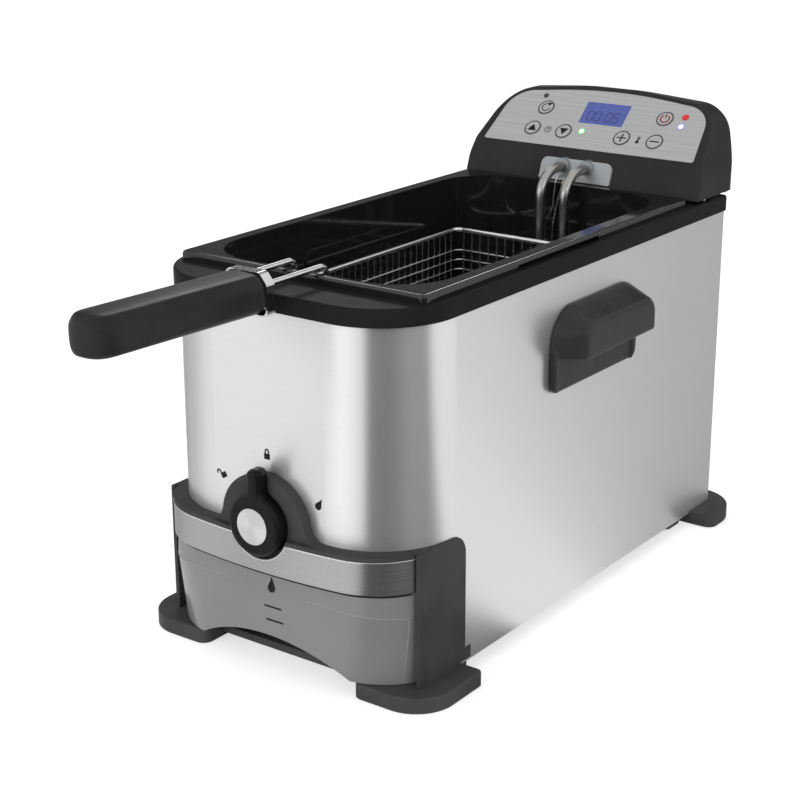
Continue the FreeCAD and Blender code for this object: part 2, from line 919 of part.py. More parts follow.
def side_handle():
    hood = hood_loft(0, hood_low)
    face = half_width + hood_reach
    rounds = [e for e in hood.Edges if abs(e.BoundBox.XMin - face) < 1e-4 and e.BoundBox.ZMax > hood_low + 1]
    hood = hood.makeFillet(hood_edge_radius, rounds)
    hood = hood.cut(hood_loft(hood_wall, hood_low - 1))
    front, rear = handle_ends()
    plate_radii = [handle_plate_radius, handle_plate_radius, 0, 0]
    plate_rear = rear - handle_plate_rear
    corners = box_corners(front, plate_rear, handle_low, handle_plate_top)
    plate = side_prism(corners, plate_radii, half_width, half_width + handle_cheek)
    pocket = block(half_width + handle_plate, half_width + handle_cheek + 1, front + handle_cheek_width,
                   plate_rear - handle_cheek_width, handle_low - 1, handle_plate_top + 1)
    plate = plate.cut(pocket)
    back_corners = box_corners(front + hood_wall, rear - hood_wall, hood_low, hood_wall_top - hood_wall)
    back_radius = hood_wall_radius - hood_wall
    back = side_prism(back_corners, [0, 0, back_radius, back_radius], half_width, half_width + handle_plate)
    handle = fuse([hood, plate, back])
    depth = half_width + handle_plate - handle_screw_skin
    for y, z in handle_screw_places():
        handle = handle.cut(along_x(y, z, screw_radius, half_width - 1, depth))
    return handle


def handle_screws():
    start = half_width - wrap_thickness
    length = wrap_thickness + handle_plate - handle_screw_skin
    screws = []
    for y, z in handle_screw_places():
        screws.append(screw(Vector(start, y, z), Vector(1, 0, 0), length))
        screws.append(screw(Vector(-start, y, z), Vector(-1, 0, 0), length))
    return Part.makeCompound(screws)


# Base
def front_foot():
    outer = half_width + foot_proud
    front = front_y + foot_front
    rear = front + foot_length
    corners = box_corners(foot_inner, outer, front, rear)
    foot = plan_prism(corners, [foot_inner_radius, foot_radius, foot_rear_radius, 0], foot_lift, foot_top)
    rounds = [e for e in edges_at_height(foot, foot_top) if e.BoundBox.XMax > foot_inner + 1]
    foot = foot.makeFillet(foot_edge_radius, rounds)
    half = half_width - wrap_thickness - base_gap
    heel_low = foot_lift + foot_heel_lift
    heel = block(foot_inner, half - 4.0, front_y + base_front, rear + foot_heel, heel_low, floor_low + 1)
    return fuse([foot, heel])


def rear_foot():
    outer = half_width + rear_foot_proud
    rear = rear_y + rear_foot_back
    corners = box_corners(rear_foot_inner, outer, rear_y - rear_foot_front, rear)
    foot = plan_prism(corners, [0, rear_foot_front_radius, rear_foot_radius, 0], foot_lift, foot_top)
    rounds = [e for e in edges_at_height(foot, foot_top) if e.BoundBox.XMax > rear_foot_inner + 1]
    foot = foot.makeFillet(foot_edge_radius, rounds)
    under = housing_bottom - base_gap
    foot = foot.cut(plan_prism(*housing_outline(base_gap), under, foot_top + 1))
    half = half_width - wrap_thickness - base_gap
    step_front = rear_y - rear_foot_front
    step = block(rear_foot_inner, half - 4.0, step_front, rear_y - 8.0, under - 1, floor_low + 1)
    rib_rear = rear_y - rear_foot_front - rib_gap
    rib_corners = box_corners(rib_inner, half - 4.0, rib_rear - rib_length, rib_rear)
    rib = plan_prism(rib_corners, [rib_radius] * 4, rib_low, floor_low)
    return fuse([foot, step]).fuse(rib)


def pad_places():
    front = front_y + foot_front + pad_back
    rear = rear_y - pad_rear
    return [(side * (half_width - pad_inset), y) for side in (-1, 1) for y in (front, rear)]


def pad_block(x, y, low, high, gap):
    wide = pad_width / 2 + gap
    long = pad_length / 2 + gap
    return plan_prism(box_corners(x - wide, x + wide, y - long, y + long), [pad_radius] * 4, low, high)


def base_screw_places():
    x = (bay_half_width + bay_wall + half_width - wrap_thickness) / 2
    front = front_y + base_screw_front
    rear = rear_y - base_screw_rear
    return [(side * x, y) for side in (-1, 1) for y in (front, (front + rear) / 2, rear)]


def base_frame():
    half = half_width - wrap_thickness - base_gap
    rear = rear_y - wrap_thickness - base_gap
    radii = [6.0, 6.0, housing_rear_radius, housing_rear_radius]
    floor = plan_prism(box_corners(-half, half, front_y + base_front, rear), radii, floor_low, floor_top)
    bay_y = front_y + bay_front
    stop_y = front_y + bay_rear_wall
    walls = []
    for side in (-1, 1):
        inner = side * bay_half_width
        outer = side * (bay_half_width + bay_wall)
        walls.append(block(min(inner, outer), max(inner, outer), bay_y, rear - 4.0, floor_top, deck_height))
        middle = side * runner_spread
        edge = runner_width / 2
        walls.append(block(middle - edge, middle + edge, bay_y, stop_y, floor_top, tray_low))
    walls.append(block(-bay_half_width, bay_half_width, stop_y, stop_y + bay_wall, floor_top, deck_height))
    bar_front = front_y + crossbar_front
    bar_rear = bar_front + crossbar_depth
    walls.append(block(-foot_inner, foot_inner, bar_front, bar_rear, crossbar_low, floor_low))
    for x, y in base_screw_places():
        walls.append(upright(x, y, boss_radius, floor_top, floor_top + screw_length))
    foot = front_foot()
    hind = rear_foot()
    base = fuse([floor] + walls + [foot, mirrored(foot), hind, mirrored(hind)])
    slot_front = pillar_front_y - base_gap
    slot_rear = pillar_rear_y + base_gap
    slot = block(pillar_inner - base_gap, half_width + 5, slot_front, slot_rear, foot_top, floor_top + 1)
    base = base.cut(slot).cut(mirrored(slot))
    for x, y in pad_places():
        base = base.cut(pad_block(x, y, foot_lift - 1, pad_recess, 0))
    for x, y in base_screw_places():
        base = base.cut(upright(x, y, screw_radius, floor_low - 1, floor_low + screw_length))
    return base


def foot_pads():
    return Part.makeCompound([pad_block(x, y, 0, pad_recess, 0) for x, y in pad_places()])


def base_screws():
    up = Vector(0, 0, 1)
    places = [Vector(x, y, floor_low) for x, y in base_screw_places()]
    return Part.makeCompound([screw(place, up, screw_length) for place in places])


# Oil container
def panel_loft(inset, back, low, high):
    """Front of the container: it leans out to a ridge line and back in below it."""
    ridge_front = panel_front_high - panel_ridge_proud
    lower = (panel_front_low - ridge_front) / (panel_ridge_height - panel_low)
    upper = panel_ridge_proud / (panel_top - panel_ridge_height)
    low_front = ridge_front + lower * (panel_ridge_height - low)
    high_front = ridge_front + upper * (high - panel_ridge_height)
    stations = [(low_front, low), (ridge_front, panel_ridge_height), (high_front, high)]
    return Part.makeLoft([bowed_wire(front, inset, back, z) for front, z in stations], True, True)


def arch_cutter():
    """Finger arch in the lower edge of the container front."""
    rise = Vector(0, 0, panel_low + arch_rise)
    left = Vector(-arch_half_width, 0, panel_low - 0.01)
    radius = (arch_half_width ** 2 + arch_rise ** 2) / (2 * arch_rise)
    turn = math.asin(arch_half_width / radius) / 2
    quarter = Vector(radius * math.sin(turn), 0, panel_low + arch_rise - radius * (1 - math.cos(turn)))
    right = Vector(arch_half_width, 0, panel_low - 0.01)
    other = Vector(-quarter.x, 0, quarter.z)
    face = Part.Face(Part.Wire([
        Part.Arc(left, other, rise).toShape(),
        Part.Arc(rise, quarter, right).toShape(),
        Part.LineSegment(right, left).toShape(),
    ]))
    face.translate(Vector(0, bow_front - 5, 0))
    return face.extrude(Vector(0, panel_back + front_reach, 0))


def oil_container():
    back = front_y + panel_back
    limit = pillar_inner - panel_side_gap
    deep = front_y + wrap_cut_depth
    panel = panel_loft(0, deep, panel_low, panel_top)
    hollow = panel_loft(panel_wall, deep + 1, panel_low - 1, panel_top - panel_wall)
    panel = panel.cut(hollow)
    panel = panel.common(block(-limit, limit, bow_front - 5, back, 0, panel_top))
    panel = panel.cut(arch_cutter())
    outer = block(-tray_half, tray_half, tray_front, tray_rear, tray_low, container_top)
    wall = container_wall
    inner = block(-tray_half + wall, tray_half - wall, tray_front + wall, tray_rear - wall,
                  tray_low + wall, container_top + 1)
    lug = block(-tray_half, tray_half, tray_front, tray_front + wall, tray_low, panel_top)
    return fuse([outer.cut(inner), lug, panel])


def filter_window(grow):
    """Outline of the window that the filter screen drops into, grown or shrunk."""
    half = filter_half + grow
    corners = box_corners(-half, half, drain_y - half, drain_y + half)
    return corners, [inner_radius(filter_corner_radius, -grow)] * 4


def container_lid():
    front = tray_front + container_wall
    lid = block(-tray_half, tray_half, front, front + lid_length, container_top, lid_top)
    lid = lid.cut(plan_prism(*filter_window(0), container_top - 1, lid_top + 1))
    ledge_low = container_top - filter_ledge_drop
    ledge = plan_prism(*filter_window(filter_ledge), ledge_low, container_top)
    ledge = ledge.cut(plan_prism(*filter_window(-filter_ledge), ledge_low - 1, container_top + 1))
    return fuse([lid, ledge])


def hole_grid(u0, u1, v0, v1, pitch, wire):
    """Evenly spaced square gaps that fill a rectangle, as (u low, u high, v low, v high)."""
    across = max(1, int((u1 - u0 - wire) // pitch))
    along = max(1, int((v1 - v0 - wire) // pitch))
    wide = (u1 - u0 - wire) / across
    tall = (v1 - v0 - wire) / along
    gaps = []
    for i in range(across):
        for j in range(along):
            u = u0 + wire + i * wide
            v = v0 + wire + j * tall
            gaps.append((u, u + wide - wire, v, v + tall - wire))
    return gaps


def net_face(u0, u1, v0, v1, pitch, wire, corner, place):
    """Flat net with rounded corners: one face with its gaps as holes."""
    outer = rounded(box_corners(u0, u1, v0, v1), [corner] * 4, place)
    holes = [rounded(box_corners(*gap), [0] * 4, place) for gap in hole_grid(u0, u1, v0, v1, pitch, wire)]
    return Part.makeFace([outer] + holes, "Part::FaceMakerBullseye")


def filter_screen():
    half = filter_half - filter_gap
    face = net_face(-half, half, drain_y - half, drain_y + half, filter_pitch, filter_wire,
                    filter_corner_radius - filter_gap, at_height(container_top))
    return face.extrude(Vector(0, 0, filter_thickness))


# Bowl
def bowl_wire(grow, inset, z):
    corners, radii = opening_outline(grow - inset)
    return rounded(corners, radii, at_height(z))


def bowl_loft(grow, top, floor):
    shoulder = floor + bowl_floor_rise
    share = (top - shoulder) / (top - floor)
    wires = [
        bowl_wire(grow, 0, top),
        bowl_wire(grow, bowl_taper * share, shoulder),
        bowl_wire(grow, bowl_taper + bowl_floor_bevel * 0.3, floor + bowl_floor_rise * 0.28),
        bowl_wire(grow, bowl_taper + bowl_floor_bevel, floor),
    ]
    return Part.makeLoft(wires, True, True)


def level_pads():
    """Long oval stamped into each side wall."""
    half = level_pad_height / 2
    z = flange_top - level_pad_drop
    middle = (opening_front + opening_rear) / 2
    long = level_pad_length / 2
    wall = opening_half - bowl_taper * level_pad_drop / bowl_depth
    corners = box_corners(middle - long, middle + long, z - half, z + half)
    pad = side_prism(corners, [half - 0.01] * 4, wall - level_pad_depth, wall + 0.8)
    return [pad, mirrored(pad)]


def oil_bowl():
    corners, radii = flange_outline(0)
    flange = plan_prism(corners, radii, rim_top, flange_top)
    flange = flange.makeFillet(flange_roll_radius, edges_at_height(flange, flange_top))
    corners, radii = flange_outline(-bowl_wall)
    flange = flange.cut(plan_prism(corners, radii, rim_top - 1, flange_top - bowl_wall))
    body = bowl_loft(bowl_wall, flange_top - bowl_wall, bowl_floor - bowl_wall)
    bowl = fuse([flange, body])
    spout = upright(0, drain_y, spout_radius, spout_bottom, bowl_floor)
    bowl = bowl.fuse(spout)
    bowl = bowl.cut(bowl_loft(0, flange_top + 0.01, bowl_floor))
    pads = level_pads()
    bowl = fuse([bowl] + pads)
    bowl = bowl.cut(upright(0, drain_y, drain_radius, spout_bottom - 1, bowl_floor + 1))
    rear = finger_notch_front + finger_notch_length
    notch = block(-flange_half - 1, flange_half + 1, finger_notch_front, rear, rim_top - 1,
                  rim_top + finger_notch_height)
    keep_half = flange_half - bowl_wall - 0.5
    keep = block(-keep_half, keep_half, finger_notch_front - 1, rear + 1, rim_top - 2, flange_top)
    return bowl.cut(notch.cut(keep))


def drain_strainer():
    """Slotted cap that sits in the drain."""
    cap = upright(0, drain_y, spout_radius + 3.0, bowl_floor, bowl_floor + 2.5)
    sleeve = upright(0, drain_y, drain_radius - 0.1, bowl_floor - 6.0, bowl_floor)
    cap = fuse([cap, sleeve])
    cap = cap.cut(upright(0, drain_y, drain_radius - 1.2, bowl_floor - 7.0, bowl_floor + 1.5))
    for step in (-2, -1, 0, 1, 2):
        y = drain_y + step * 2.0
        cap = cap.cut(block(-3.2, 3.2, y - 0.6, y + 0.6, bowl_floor + 1, bowl_floor + 3))
    return cap


# Basket
def basket_rim():
    z = basket_rim_level
    corners = box_corners(-basket_half, basket_half, basket_front, basket_rear)
    path = rounded(corners, [basket_corner_radius] * 4, at_height(z))
    start = path.Edges[0].Vertexes[0].Point
    tangent = path.Edges[0].tangentAt(path.Edges[0].FirstParameter)
    ring = Part.Wire(Part.makeCircle(basket_wire_radius, start, tangent))
    return path.makePipeShell([ring], True, False)


def net_edge():
    return basket_half + net_thickness / 2, basket_front - net_thickness / 2, basket_rear + net_thickness / 2


def basket_floor():
    half, front, rear = net_edge()
    corner = basket_corner_radius + net_thickness / 2
    face = net_face(-half, half, front, rear, net_pitch, net_wire, corner, at_height(basket_low))
    return face.extrude(Vector(0, 0, net_thickness))


def basket_side(sign):
    half, front, rear = net_edge()
    low = basket_low + net_thickness
    inner = half - net_thickness
    face = net_face(front, rear, low, net_top, net_pitch, net_wire, 0, at_side(sign * inner))
    return face.extrude(Vector(sign * net_thickness, 0, 0))


def basket_end(y):
    half = basket_half - net_thickness / 2
    low = basket_low + net_thickness
    face = net_face(-half, half, low, net_top, net_pitch, net_wire, 0, at_depth(y - net_thickness / 2))
    return face.extrude(Vector(0, net_thickness, 0))


def basket_bracket():
    back = basket_front - basket_wire_radius
    width = ear_spread + ear_thickness
    low = basket_rim_level - bracket_drop
    top = basket_rim_level + basket_wire_radius
    plate = block(-width, width, back - bracket_plate, back, low, top)
    reach = basket_wire_radius - net_thickness / 2
    foot = block(-width, width, back, back + reach, low, low + bracket_plate)
    ear_radius = handle_wire_radius + hinge_clearance + ear_wall
    points = [(back - bracket_plate, low), (back, low), (back, hinge_z + ear_radius)]
    points += [(hinge_y - ear_radius, hinge_z + ear_radius), (hinge_y - ear_radius, hinge_z - ear_radius)]
    ear = side_prism(points, [0, 0, 2.0, ear_radius * 0.9, ear_radius * 0.9], ear_spread, width)
    bracket = fuse([plate, foot, ear, mirrored(ear)])
    hole = handle_wire_radius + hinge_clearance
    return bracket.cut(along_x(hinge_y, hinge_z, hole, -width - 1, width + 1))


def handle_wire_points():
    x = handle_wire_spread
    return [
        Vector(x, grip_start - wire_in_grip, wire_level),
        Vector(x, hinge_y, wire_level),
        Vector(x, hinge_y, hinge_z),
        Vector(ear_spread + ear_thickness + trunnion_reach, hinge_y, hinge_z),
    ]


def handle_wires():
    wire = rod(handle_wire_points(), handle_wire_radius, [handle_bend, trunnion_bend])
    return Part.makeCompound([wire, mirrored(wire)])


def grip_section(y, grow, lift, top_width):
    """Section of the grip: flat bottom, upright sides and a narrower flat top."""
    half = grip_width / 2 + grow
    low = grip_low - grow + lift
    side = grip_low + grip_side_height + lift
    top_half = top_width / 2 + grow
    top = grip_low + grip_height + grow + lift
    points = [(-half, low), (half, low), (half, side), (top_half, top), (-top_half, top), (-half, side)]
    radii = [grip_low_radius] * 2 + [grip_side_radius] + [grip_top_radius] * 2 + [grip_side_radius]
    return rounded(points, radii, at_depth(y))


def grip_lift():
    return grip_length * math.sin(math.radians(grip_tilt))


def grip_loft():
    start = grip_section(ferrule_y - ferrule_wall, 0, 0, grip_top_width)
    end = grip_section(grip_end, 0, grip_lift(), grip_top_end_width)
    return Part.makeLoft([start, end], True, True)


def grip_butt():
    """Space that rounds the end of the grip in plan and along its lower and upper edges."""
    margin = 0.02
    half = grip_width / 2 + margin
    low = grip_low - margin
    top = grip_low + grip_height + margin
    lift = grip_lift()
    corners = box_corners(-half, half, grip_end, ferrule_y)
    plan = plan_prism(corners, [grip_end_radius, grip_end_radius, 0, 0], low - 1, top + lift + 1)
    points = [(grip_end, low + lift), (ferrule_y, low), (ferrule_y, top), (grip_end, top + lift)]
    side = side_prism(points, [grip_butt_radius, 0, 0, grip_top_end_radius], -half - 1, half + 1)
    return plan.common(side)


def handle_ferrule():
    section = grip_section(ferrule_y, ferrule_wall, 0, grip_top_width)
    outer = Part.Face(section).extrude(Vector(0, -ferrule_length, 0))
    sleeve = outer.cut(grip_loft())
    for x in (-handle_wire_spread, handle_wire_spread):
        front = ferrule_y - 2 * ferrule_wall
        sleeve = sleeve.cut(along_y(x, wire_level, handle_wire_radius, front, ferrule_y + 1))
    return sleeve


def handle_grip():
    grip = grip_loft().common(grip_butt())
    for x in (-handle_wire_spread, handle_wire_spread):
        hole_start = grip_start - wire_in_grip
        grip = grip.cut(along_y(x, wire_level, handle_wire_radius, hole_start, ferrule_y))
    return grip


# Control head
def inset_corners(points, insets):
    """Corners of a convex outline with each edge moved inwards by its own amount."""
    lines = []
    middle = sum((Vector(u, v, 0) for u, v in points), Vector(0, 0, 0)) * (1.0 / len(points))
    for i, inset in enumerate(insets):
        start = Vector(points[i][0], points[i][1], 0)
        end = Vector(points[(i + 1) % len(points)][0], points[(i + 1) % len(points)][1], 0)
        along = (end - start).normalize()
        inward = Vector(-along.y, along.x, 0)
        if inward.dot(middle - start) < 0:
            inward = inward * -1
        lines.append((start + inward * inset, along))
    corners = []
    for i, (place, along) in enumerate(lines):
        before, lead = lines[i - 1]
        cross = lead.x * along.y - lead.y * along.x
        gap = place - before
        step = (gap.x * along.y - gap.y * along.x) / cross
        corner = before + lead * step
        corners.append((corner.x, corner.y))
    return corners


def head_side_points(inset):
    """Side view of the head: leaning front, sloped panel, rounded top and upright back."""
    top_y = fold_y + (head_top - fold_z) / math.tan(tilt)
    points = [
        (head_front, head_bottom),
        (fold_y, fold_z),
        (top_y, head_top),
        (head_rear, head_top - head_back_drop),
        (head_rear, head_bottom),
    ]
    return inset_corners(points, [inset, inset, inset, inset, 0])


def head_front_points(inset):
    """Front view of the head: upright then leaning sides, rounded shoulders and an arched top."""
    shoulder = half_width - head_side_draft
    shoulder_z = head_top - head_shoulder_drop
    knee = head_bottom + head_knee_rise
    points = [
        (-half_width, head_bottom),
        (half_width, head_bottom),
        (half_width, knee),
        (shoulder, shoulder_z),
        (0, head_top + head_peak_rise),
        (-shoulder, shoulder_z),
        (-half_width, knee),
    ]
    return inset_corners(points, [0] + [inset] * 6)


def head_solid(inset):
    outer_radii = (0, head_fold_radius, head_top_radius, head_back_radius, 0)
    side_radii = [inner_radius(radius, inset) for radius in outer_radii]
    side = side_prism(head_side_points(inset), side_radii, -half_width - 5, half_width + 5)
    knee = inner_radius(head_knee_radius, inset)
    corner = inner_radius(head_corner_radius, inset)
    radii = [0, 0, knee, corner, head_arch_radius, corner, knee]
    front = front_prism(head_front_points(inset), radii, head_front - 5, head_rear + 5)
    plan_corners = box_corners(-half_width + inset, half_width - inset, head_front - 5, head_rear - inset)
    rear = inner_radius(head_plan_radius, inset)
    plan = plan_prism(plan_corners, [0, 0, rear, rear], head_bottom, head_top + 5)
    return side.common(front).common(plan)


def plate_points(grow):
    bottom = plate_half_width + grow
    top = plate_top_half_width + grow
    return [(-bottom, -grow), (bottom, -grow), (top, plate_side_height + grow), (0, plate_peak + grow),
            (-top, plate_side_height + grow)]


def plate_radii():
    return [2.0, 2.0, plate_corner_radius, plate_arch_radius, plate_corner_radius]


def window_corners(grow):
    wide = window_width / 2 + grow
    tall = window_height / 2 + grow
    return box_corners(window_x - wide, window_x + wide, window_a - tall, window_a + tall)


def head_screw_places():
    x = half_width - head_wall - head_screw_inset
    front = head_front + head_screw_front
    rear = head_rear - head_screw_rear
    return [(side * x, y) for side in (-1, 1) for y in (front, rear)]


def inlet_corners(grow):
    wide = inlet_width / 2 + grow
    middle = head_bottom + inlet_rise
    tall = inlet_height / 2 + grow
    return box_corners(-wide, wide, middle - tall, middle + tall)


def tube_places():
    return heater_x - tube_spread, heater_x + tube_spread


def capillary_places():
    return heater_x - bulb_spread, heater_x + bulb_spread


def tube_holes(y0, y1, gap):
    return [along_y(x, tube_level, tube_radius + gap, y0, y1) for x in tube_places()]


def head_shell():
    outer = head_solid(0)
    shell = outer.cut(head_solid(head_wall))
    for place in board_boss_places:
        shell = shell.fuse(panel_round(place, 3.0, -board_depth, -plate_thickness))
    for x, y in head_screw_places():
        boss_low = head_bottom + head_floor_thickness
        boss = upright(x, y, boss_radius, boss_low, head_bottom + screw_length + boss_radius)
        shell = shell.fuse(boss.common(outer))
    shell = shell.cut(panel_prism(plate_points(0), plate_radii(), plate_proud - plate_thickness, 4))
    through = -head_wall - 4
    for place in key_places.values():
        shell = shell.cut(panel_round(place, key_radius + 2 * key_gap, through, 1))
    for place in lamp_places.values():
        shell = shell.cut(panel_round(place, lamp_radius + 2 * lamp_gap, through, 1))
    shell = shell.cut(panel_prism(window_corners(module_margin), [1.0] * 4, through, 1))
    for hole in tube_holes(head_front - 5, head_front + tube_hole_depth, 0):
        shell = shell.cut(hole)
    for x in capillary_places():
        hole_z = tube_level - capillary_drop
        shell = shell.cut(along_y(x, hole_z, capillary_radius, head_front - 5, head_front + tube_hole_depth))
    shell = shell.cut(front_prism(inlet_corners(0), [3.0] * 4, head_rear - head_wall - 1, head_rear + 1))
    for x, y in head_screw_places():
        shell = shell.cut(upright(x, y, screw_radius, head_bottom, head_bottom + screw_length))
    return shell


def head_floor():
    inner = head_solid(head_wall)
    top = head_bottom + head_floor_thickness
    slab = block(-half_width, half_width, head_front, head_rear, head_bottom, top)
    floor = inner.common(slab)
    for x, y in peg_places():
        floor = floor.fuse(upright(x, y, peg_radius, head_bottom - peg_length, head_bottom + 1))
    for x, y in head_screw_places():
        floor = floor.cut(upright(x, y, screw_radius, head_bottom - 1, head_bottom + 5))
    return floor.removeSplitter()


def head_screws():
    up = Vector(0, 0, 1)
    places = [Vector(x, y, head_bottom) for x, y in head_screw_places()]
    return Part.makeCompound([screw(place, up, screw_length) for place in places])


def control_plate():
    plate = panel_prism(plate_points(0), plate_radii(), plate_proud - plate_thickness, plate_proud)
    for place in key_places.values():
        plate = plate.cut(panel_round(place, key_radius + key_gap, -3, 3))
    for place in lamp_places.values():
        plate = plate.cut(panel_round(place, lamp_radius + lamp_gap, -3, 3))
    return plate.cut(panel_prism(window_corners(0), [0.8] * 4, -3, 3))


def panel_key(place):
    top = plate_proud + key_proud
    disc = panel_round(place, key_radius, top - key_disc, top)
    stem_end = -board_depth + switch_height + key_travel + key_slack
    stem = panel_round(place, key_stem_radius, stem_end, top - key_disc + 0.1)
    return fuse([disc, stem])


def panel_lamp(place):
    return panel_round(place, lamp_radius, -board_depth, plate_proud + key_proud)


def display_window():
    low = plate_proud - window_thickness
    return panel_prism(window_corners(0), [0.8] * 4, low, plate_proud)


def display_module():
    low = -board_depth
    return panel_prism(window_corners(module_margin - 0.3), [0.8] * 4, low, plate_proud - window_thickness)


def control_board():
    corners = box_corners(-board_half_width, board_half_width, board_low, board_high)
    board = panel_prism(corners, [6.0] * 4, -board_depth - board_thickness, -board_depth)
    half = switch_size / 2
    for u, v in key_places.values():
        corners = box_corners(u - half, u + half, v - half, v + half)
        board = board.fuse(panel_prism(corners, [0.6] * 4, -board_depth, -board_depth + switch_height))
    return board


def on_front_face(raised):
    """Places (across, up) on the leaning front of the head, raised along its normal."""
    length = math.hypot(head_front_lean, head_front_rise)
    up_y = head_front_lean / length
    up_z = head_front_rise / length

    def place(u, v):
        return Vector(u, head_front + v * up_y - raised * up_z, head_bottom + v * up_z + raised * up_y)
    return place


def element_bracket():
    middle = heater_x + bracket_shift
    half = bracket_half_width
    corners = box_corners(middle - half, middle + half, bracket_low, bracket_high)
    face = Part.Face(rounded(corners, [1.0, 1.0, 6.0, 6.0], on_front_face(0)))
    normal = on_front_face(1)(0, 0) - on_front_face(0)(0, 0)
    bracket = face.extrude(normal * bracket_thickness)
    face_y = head_front + tube_height * head_front_lean / head_front_rise
    front = face_y - bracket_thickness - collar_length - 1.0
    for x in tube_places():
        bracket = bracket.fuse(along_y(x, tube_level, collar_radius, front, face_y + 3.0))
    bracket = bracket.cut(head_solid(0))
    for hole in tube_holes(front - 5, face_y + 20, 0):
        bracket = bracket.cut(hole)
    hole_z = tube_level - capillary_drop
    for x in capillary_places():
        bracket = bracket.cut(along_y(x, hole_z, capillary_radius, front - 5, face_y + 20))
    return bracket.removeSplitter()


def heating_element():
    inside = head_front + tube_entry
    front = opening_front + bowl_taper + loop_front_gap
    right = [
        Vector(tube_spread, inside, tube_level),
        Vector(tube_spread, tube_drop_y, tube_level),
        Vector(tube_spread, tube_drop_y, loop_level),
        Vector(loop_outer, tube_drop_y, loop_level),
        Vector(loop_outer, front, loop_level),
        Vector(loop_inner, front, loop_level),
        Vector(loop_inner, loop_inner_rear, loop_level),
    ]
    left = [Vector(-p.x, p.y, p.z) for p in reversed(right)]
    element = rod(right + left, tube_radius, [tube_bend] + [loop_bend] * 10 + [tube_bend])
    element.translate(Vector(heater_x, 0, 0))
    return element


def clip_back():
    return tube_drop_y + tube_radius + clip_thickness


def element_clip():
    half = tube_spread + tube_radius
    low = bowl_floor + clip_level
    front = tube_drop_y + tube_radius
    return block(heater_x - half, heater_x + half, front, clip_back(), low, low + clip_height)


def bulb_y():
    return clip_back() + bulb_radius


def thermostat_bulbs():
    low = bowl_floor + clip_level - bulb_length / 3
    places = [x + bulb_shift for x in capillary_places()]
    bulbs = [upright(x, bulb_y(), bulb_radius, low, low + bulb_length) for x in places]
    return Part.makeCompound(bulbs)


def capillary_wires():
    low = bowl_floor + clip_level + bulb_length * 2 / 3
    level = tube_level - capillary_drop
    wires = []
    for x, sway in zip(capillary_places(), (2.2, -1.6)):
        rise = level - low
        points = [
            Vector(x + bulb_shift, bulb_y(), low),
            Vector(x + bulb_shift, bulb_y(), low + rise * 0.25),
            Vector(x + bulb_shift / 2 + sway, bulb_y() + 2.0, low + rise * 0.55),
            Vector(x, bulb_y() + 4.0, level),
            Vector(x, head_front + capillary_entry, level),
        ]
        wires.append(rod(points, capillary_radius, [capillary_bend] * 3))
    return Part.makeCompound(wires)


def power_inlet():
    y0 = head_rear + inlet_proud - inlet_depth
    body = front_prism(inlet_corners(0), [3.0] * 4, y0, head_rear + inlet_proud)
    hollow = front_prism(inlet_corners(-inlet_wall), [2.0] * 4, y0 + inlet_wall, head_rear + inlet_proud + 1)
    middle = head_bottom + inlet_rise
    body = body.cut(hollow)
    for x in (-pin_spread, pin_spread):
        body = body.cut(along_y(x, middle, pin_radius, y0 - 1, y0 + inlet_wall + 1))
    return body


def inlet_pins():
    y0 = head_rear + inlet_proud - inlet_depth
    middle = head_bottom + inlet_rise
    tip = y0 + inlet_wall + pin_length
    pins = [along_y(x, middle, pin_radius, y0 - 4.0, tip) for x in (-pin_spread, pin_spread)]
    return Part.makeCompound(pins)


def safety_switch():
    long, wide, tall = microswitch_size
    low = head_bottom + head_floor_thickness
    y = (head_front + head_rear) / 2
    return block(microswitch_x, microswitch_x + long, y - wide / 2, y + wide / 2, low, low + tall)


def all_nodes():
    nodes = {
        "housing_wrap": housing_wrap(),
        "top_rim": top_rim(),
        "front_frame": front_frame(),
        "front_band": front_band(),
        "base_frame": base_frame(),
        "foot_pads": foot_pads(),
        "base_screws": base_screws(),
        "inner_deck": inner_deck(),
        "valve_body": valve_body(),
        "valve_gasket": valve_gasket(),
        "knob_bush": knob_bush(),
        "filter_knob": filter_knob(),
        "knob_cap": knob_cap(),
        "knob_shaft": knob_shaft(),
        "valve_plug": valve_plug(),
        "handle_screws": handle_screws(),
        "oil_container": oil_container(),
        "container_lid": container_lid(),
        "filter_screen": filter_screen(),
        "oil_bowl": oil_bowl(),
        "drain_strainer": drain_strainer(),
        "basket_rim": basket_rim(),
        "basket_floor": basket_floor(),
        "basket_left": basket_side(-1),
        "basket_right": basket_side(1),
        "basket_front": basket_end(basket_front),
        "basket_rear": basket_end(basket_rear),
        "basket_bracket": basket_bracket(),
        "handle_wires": handle_wires(),
        "handle_ferrule": handle_ferrule(),
        "handle_grip": handle_grip(),
        "head_shell": head_shell(),
        "head_floor": head_floor(),
        "head_screws": head_screws(),
        "control_plate": control_plate(),
        "display_window": display_window(),
        "display_module": display_module(),
        "control_board": control_board(),
        "element_bracket": element_bracket(),
        "heating_element": heating_element(),
        "element_clip": element_clip(),
        "thermostat_bulbs": thermostat_bulbs(),
        "capillary_wires": capillary_wires(),
        "power_inlet": power_inlet(),
        "inlet_pins": inlet_pins(),
        "safety_switch": safety_switch(),
    }
    right = side_handle()
    nodes["side_handle_right"] = right
    nodes["side_handle_left"] = mirrored(right)
    for name, place in key_places.items():
        nodes[name] = panel_key(place)
    for name, place in lamp_places.items():
        nodes[name] = panel_lamp(place)
    return nodes


def main():
    os.makedirs("parts", exist_ok=True)
    for name, shape in all_nodes().items():
        shape.translate(Vector(0, -whole_middle, 0))
        shape.exportStep("parts/" + name + ".step")
        print(name, len(shape.Solids), round(shape.Volume), shape.isValid())


if __name__ == "__main__":
    main()
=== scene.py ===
"""Looks of a deep fryer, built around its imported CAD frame."""
import json
import math

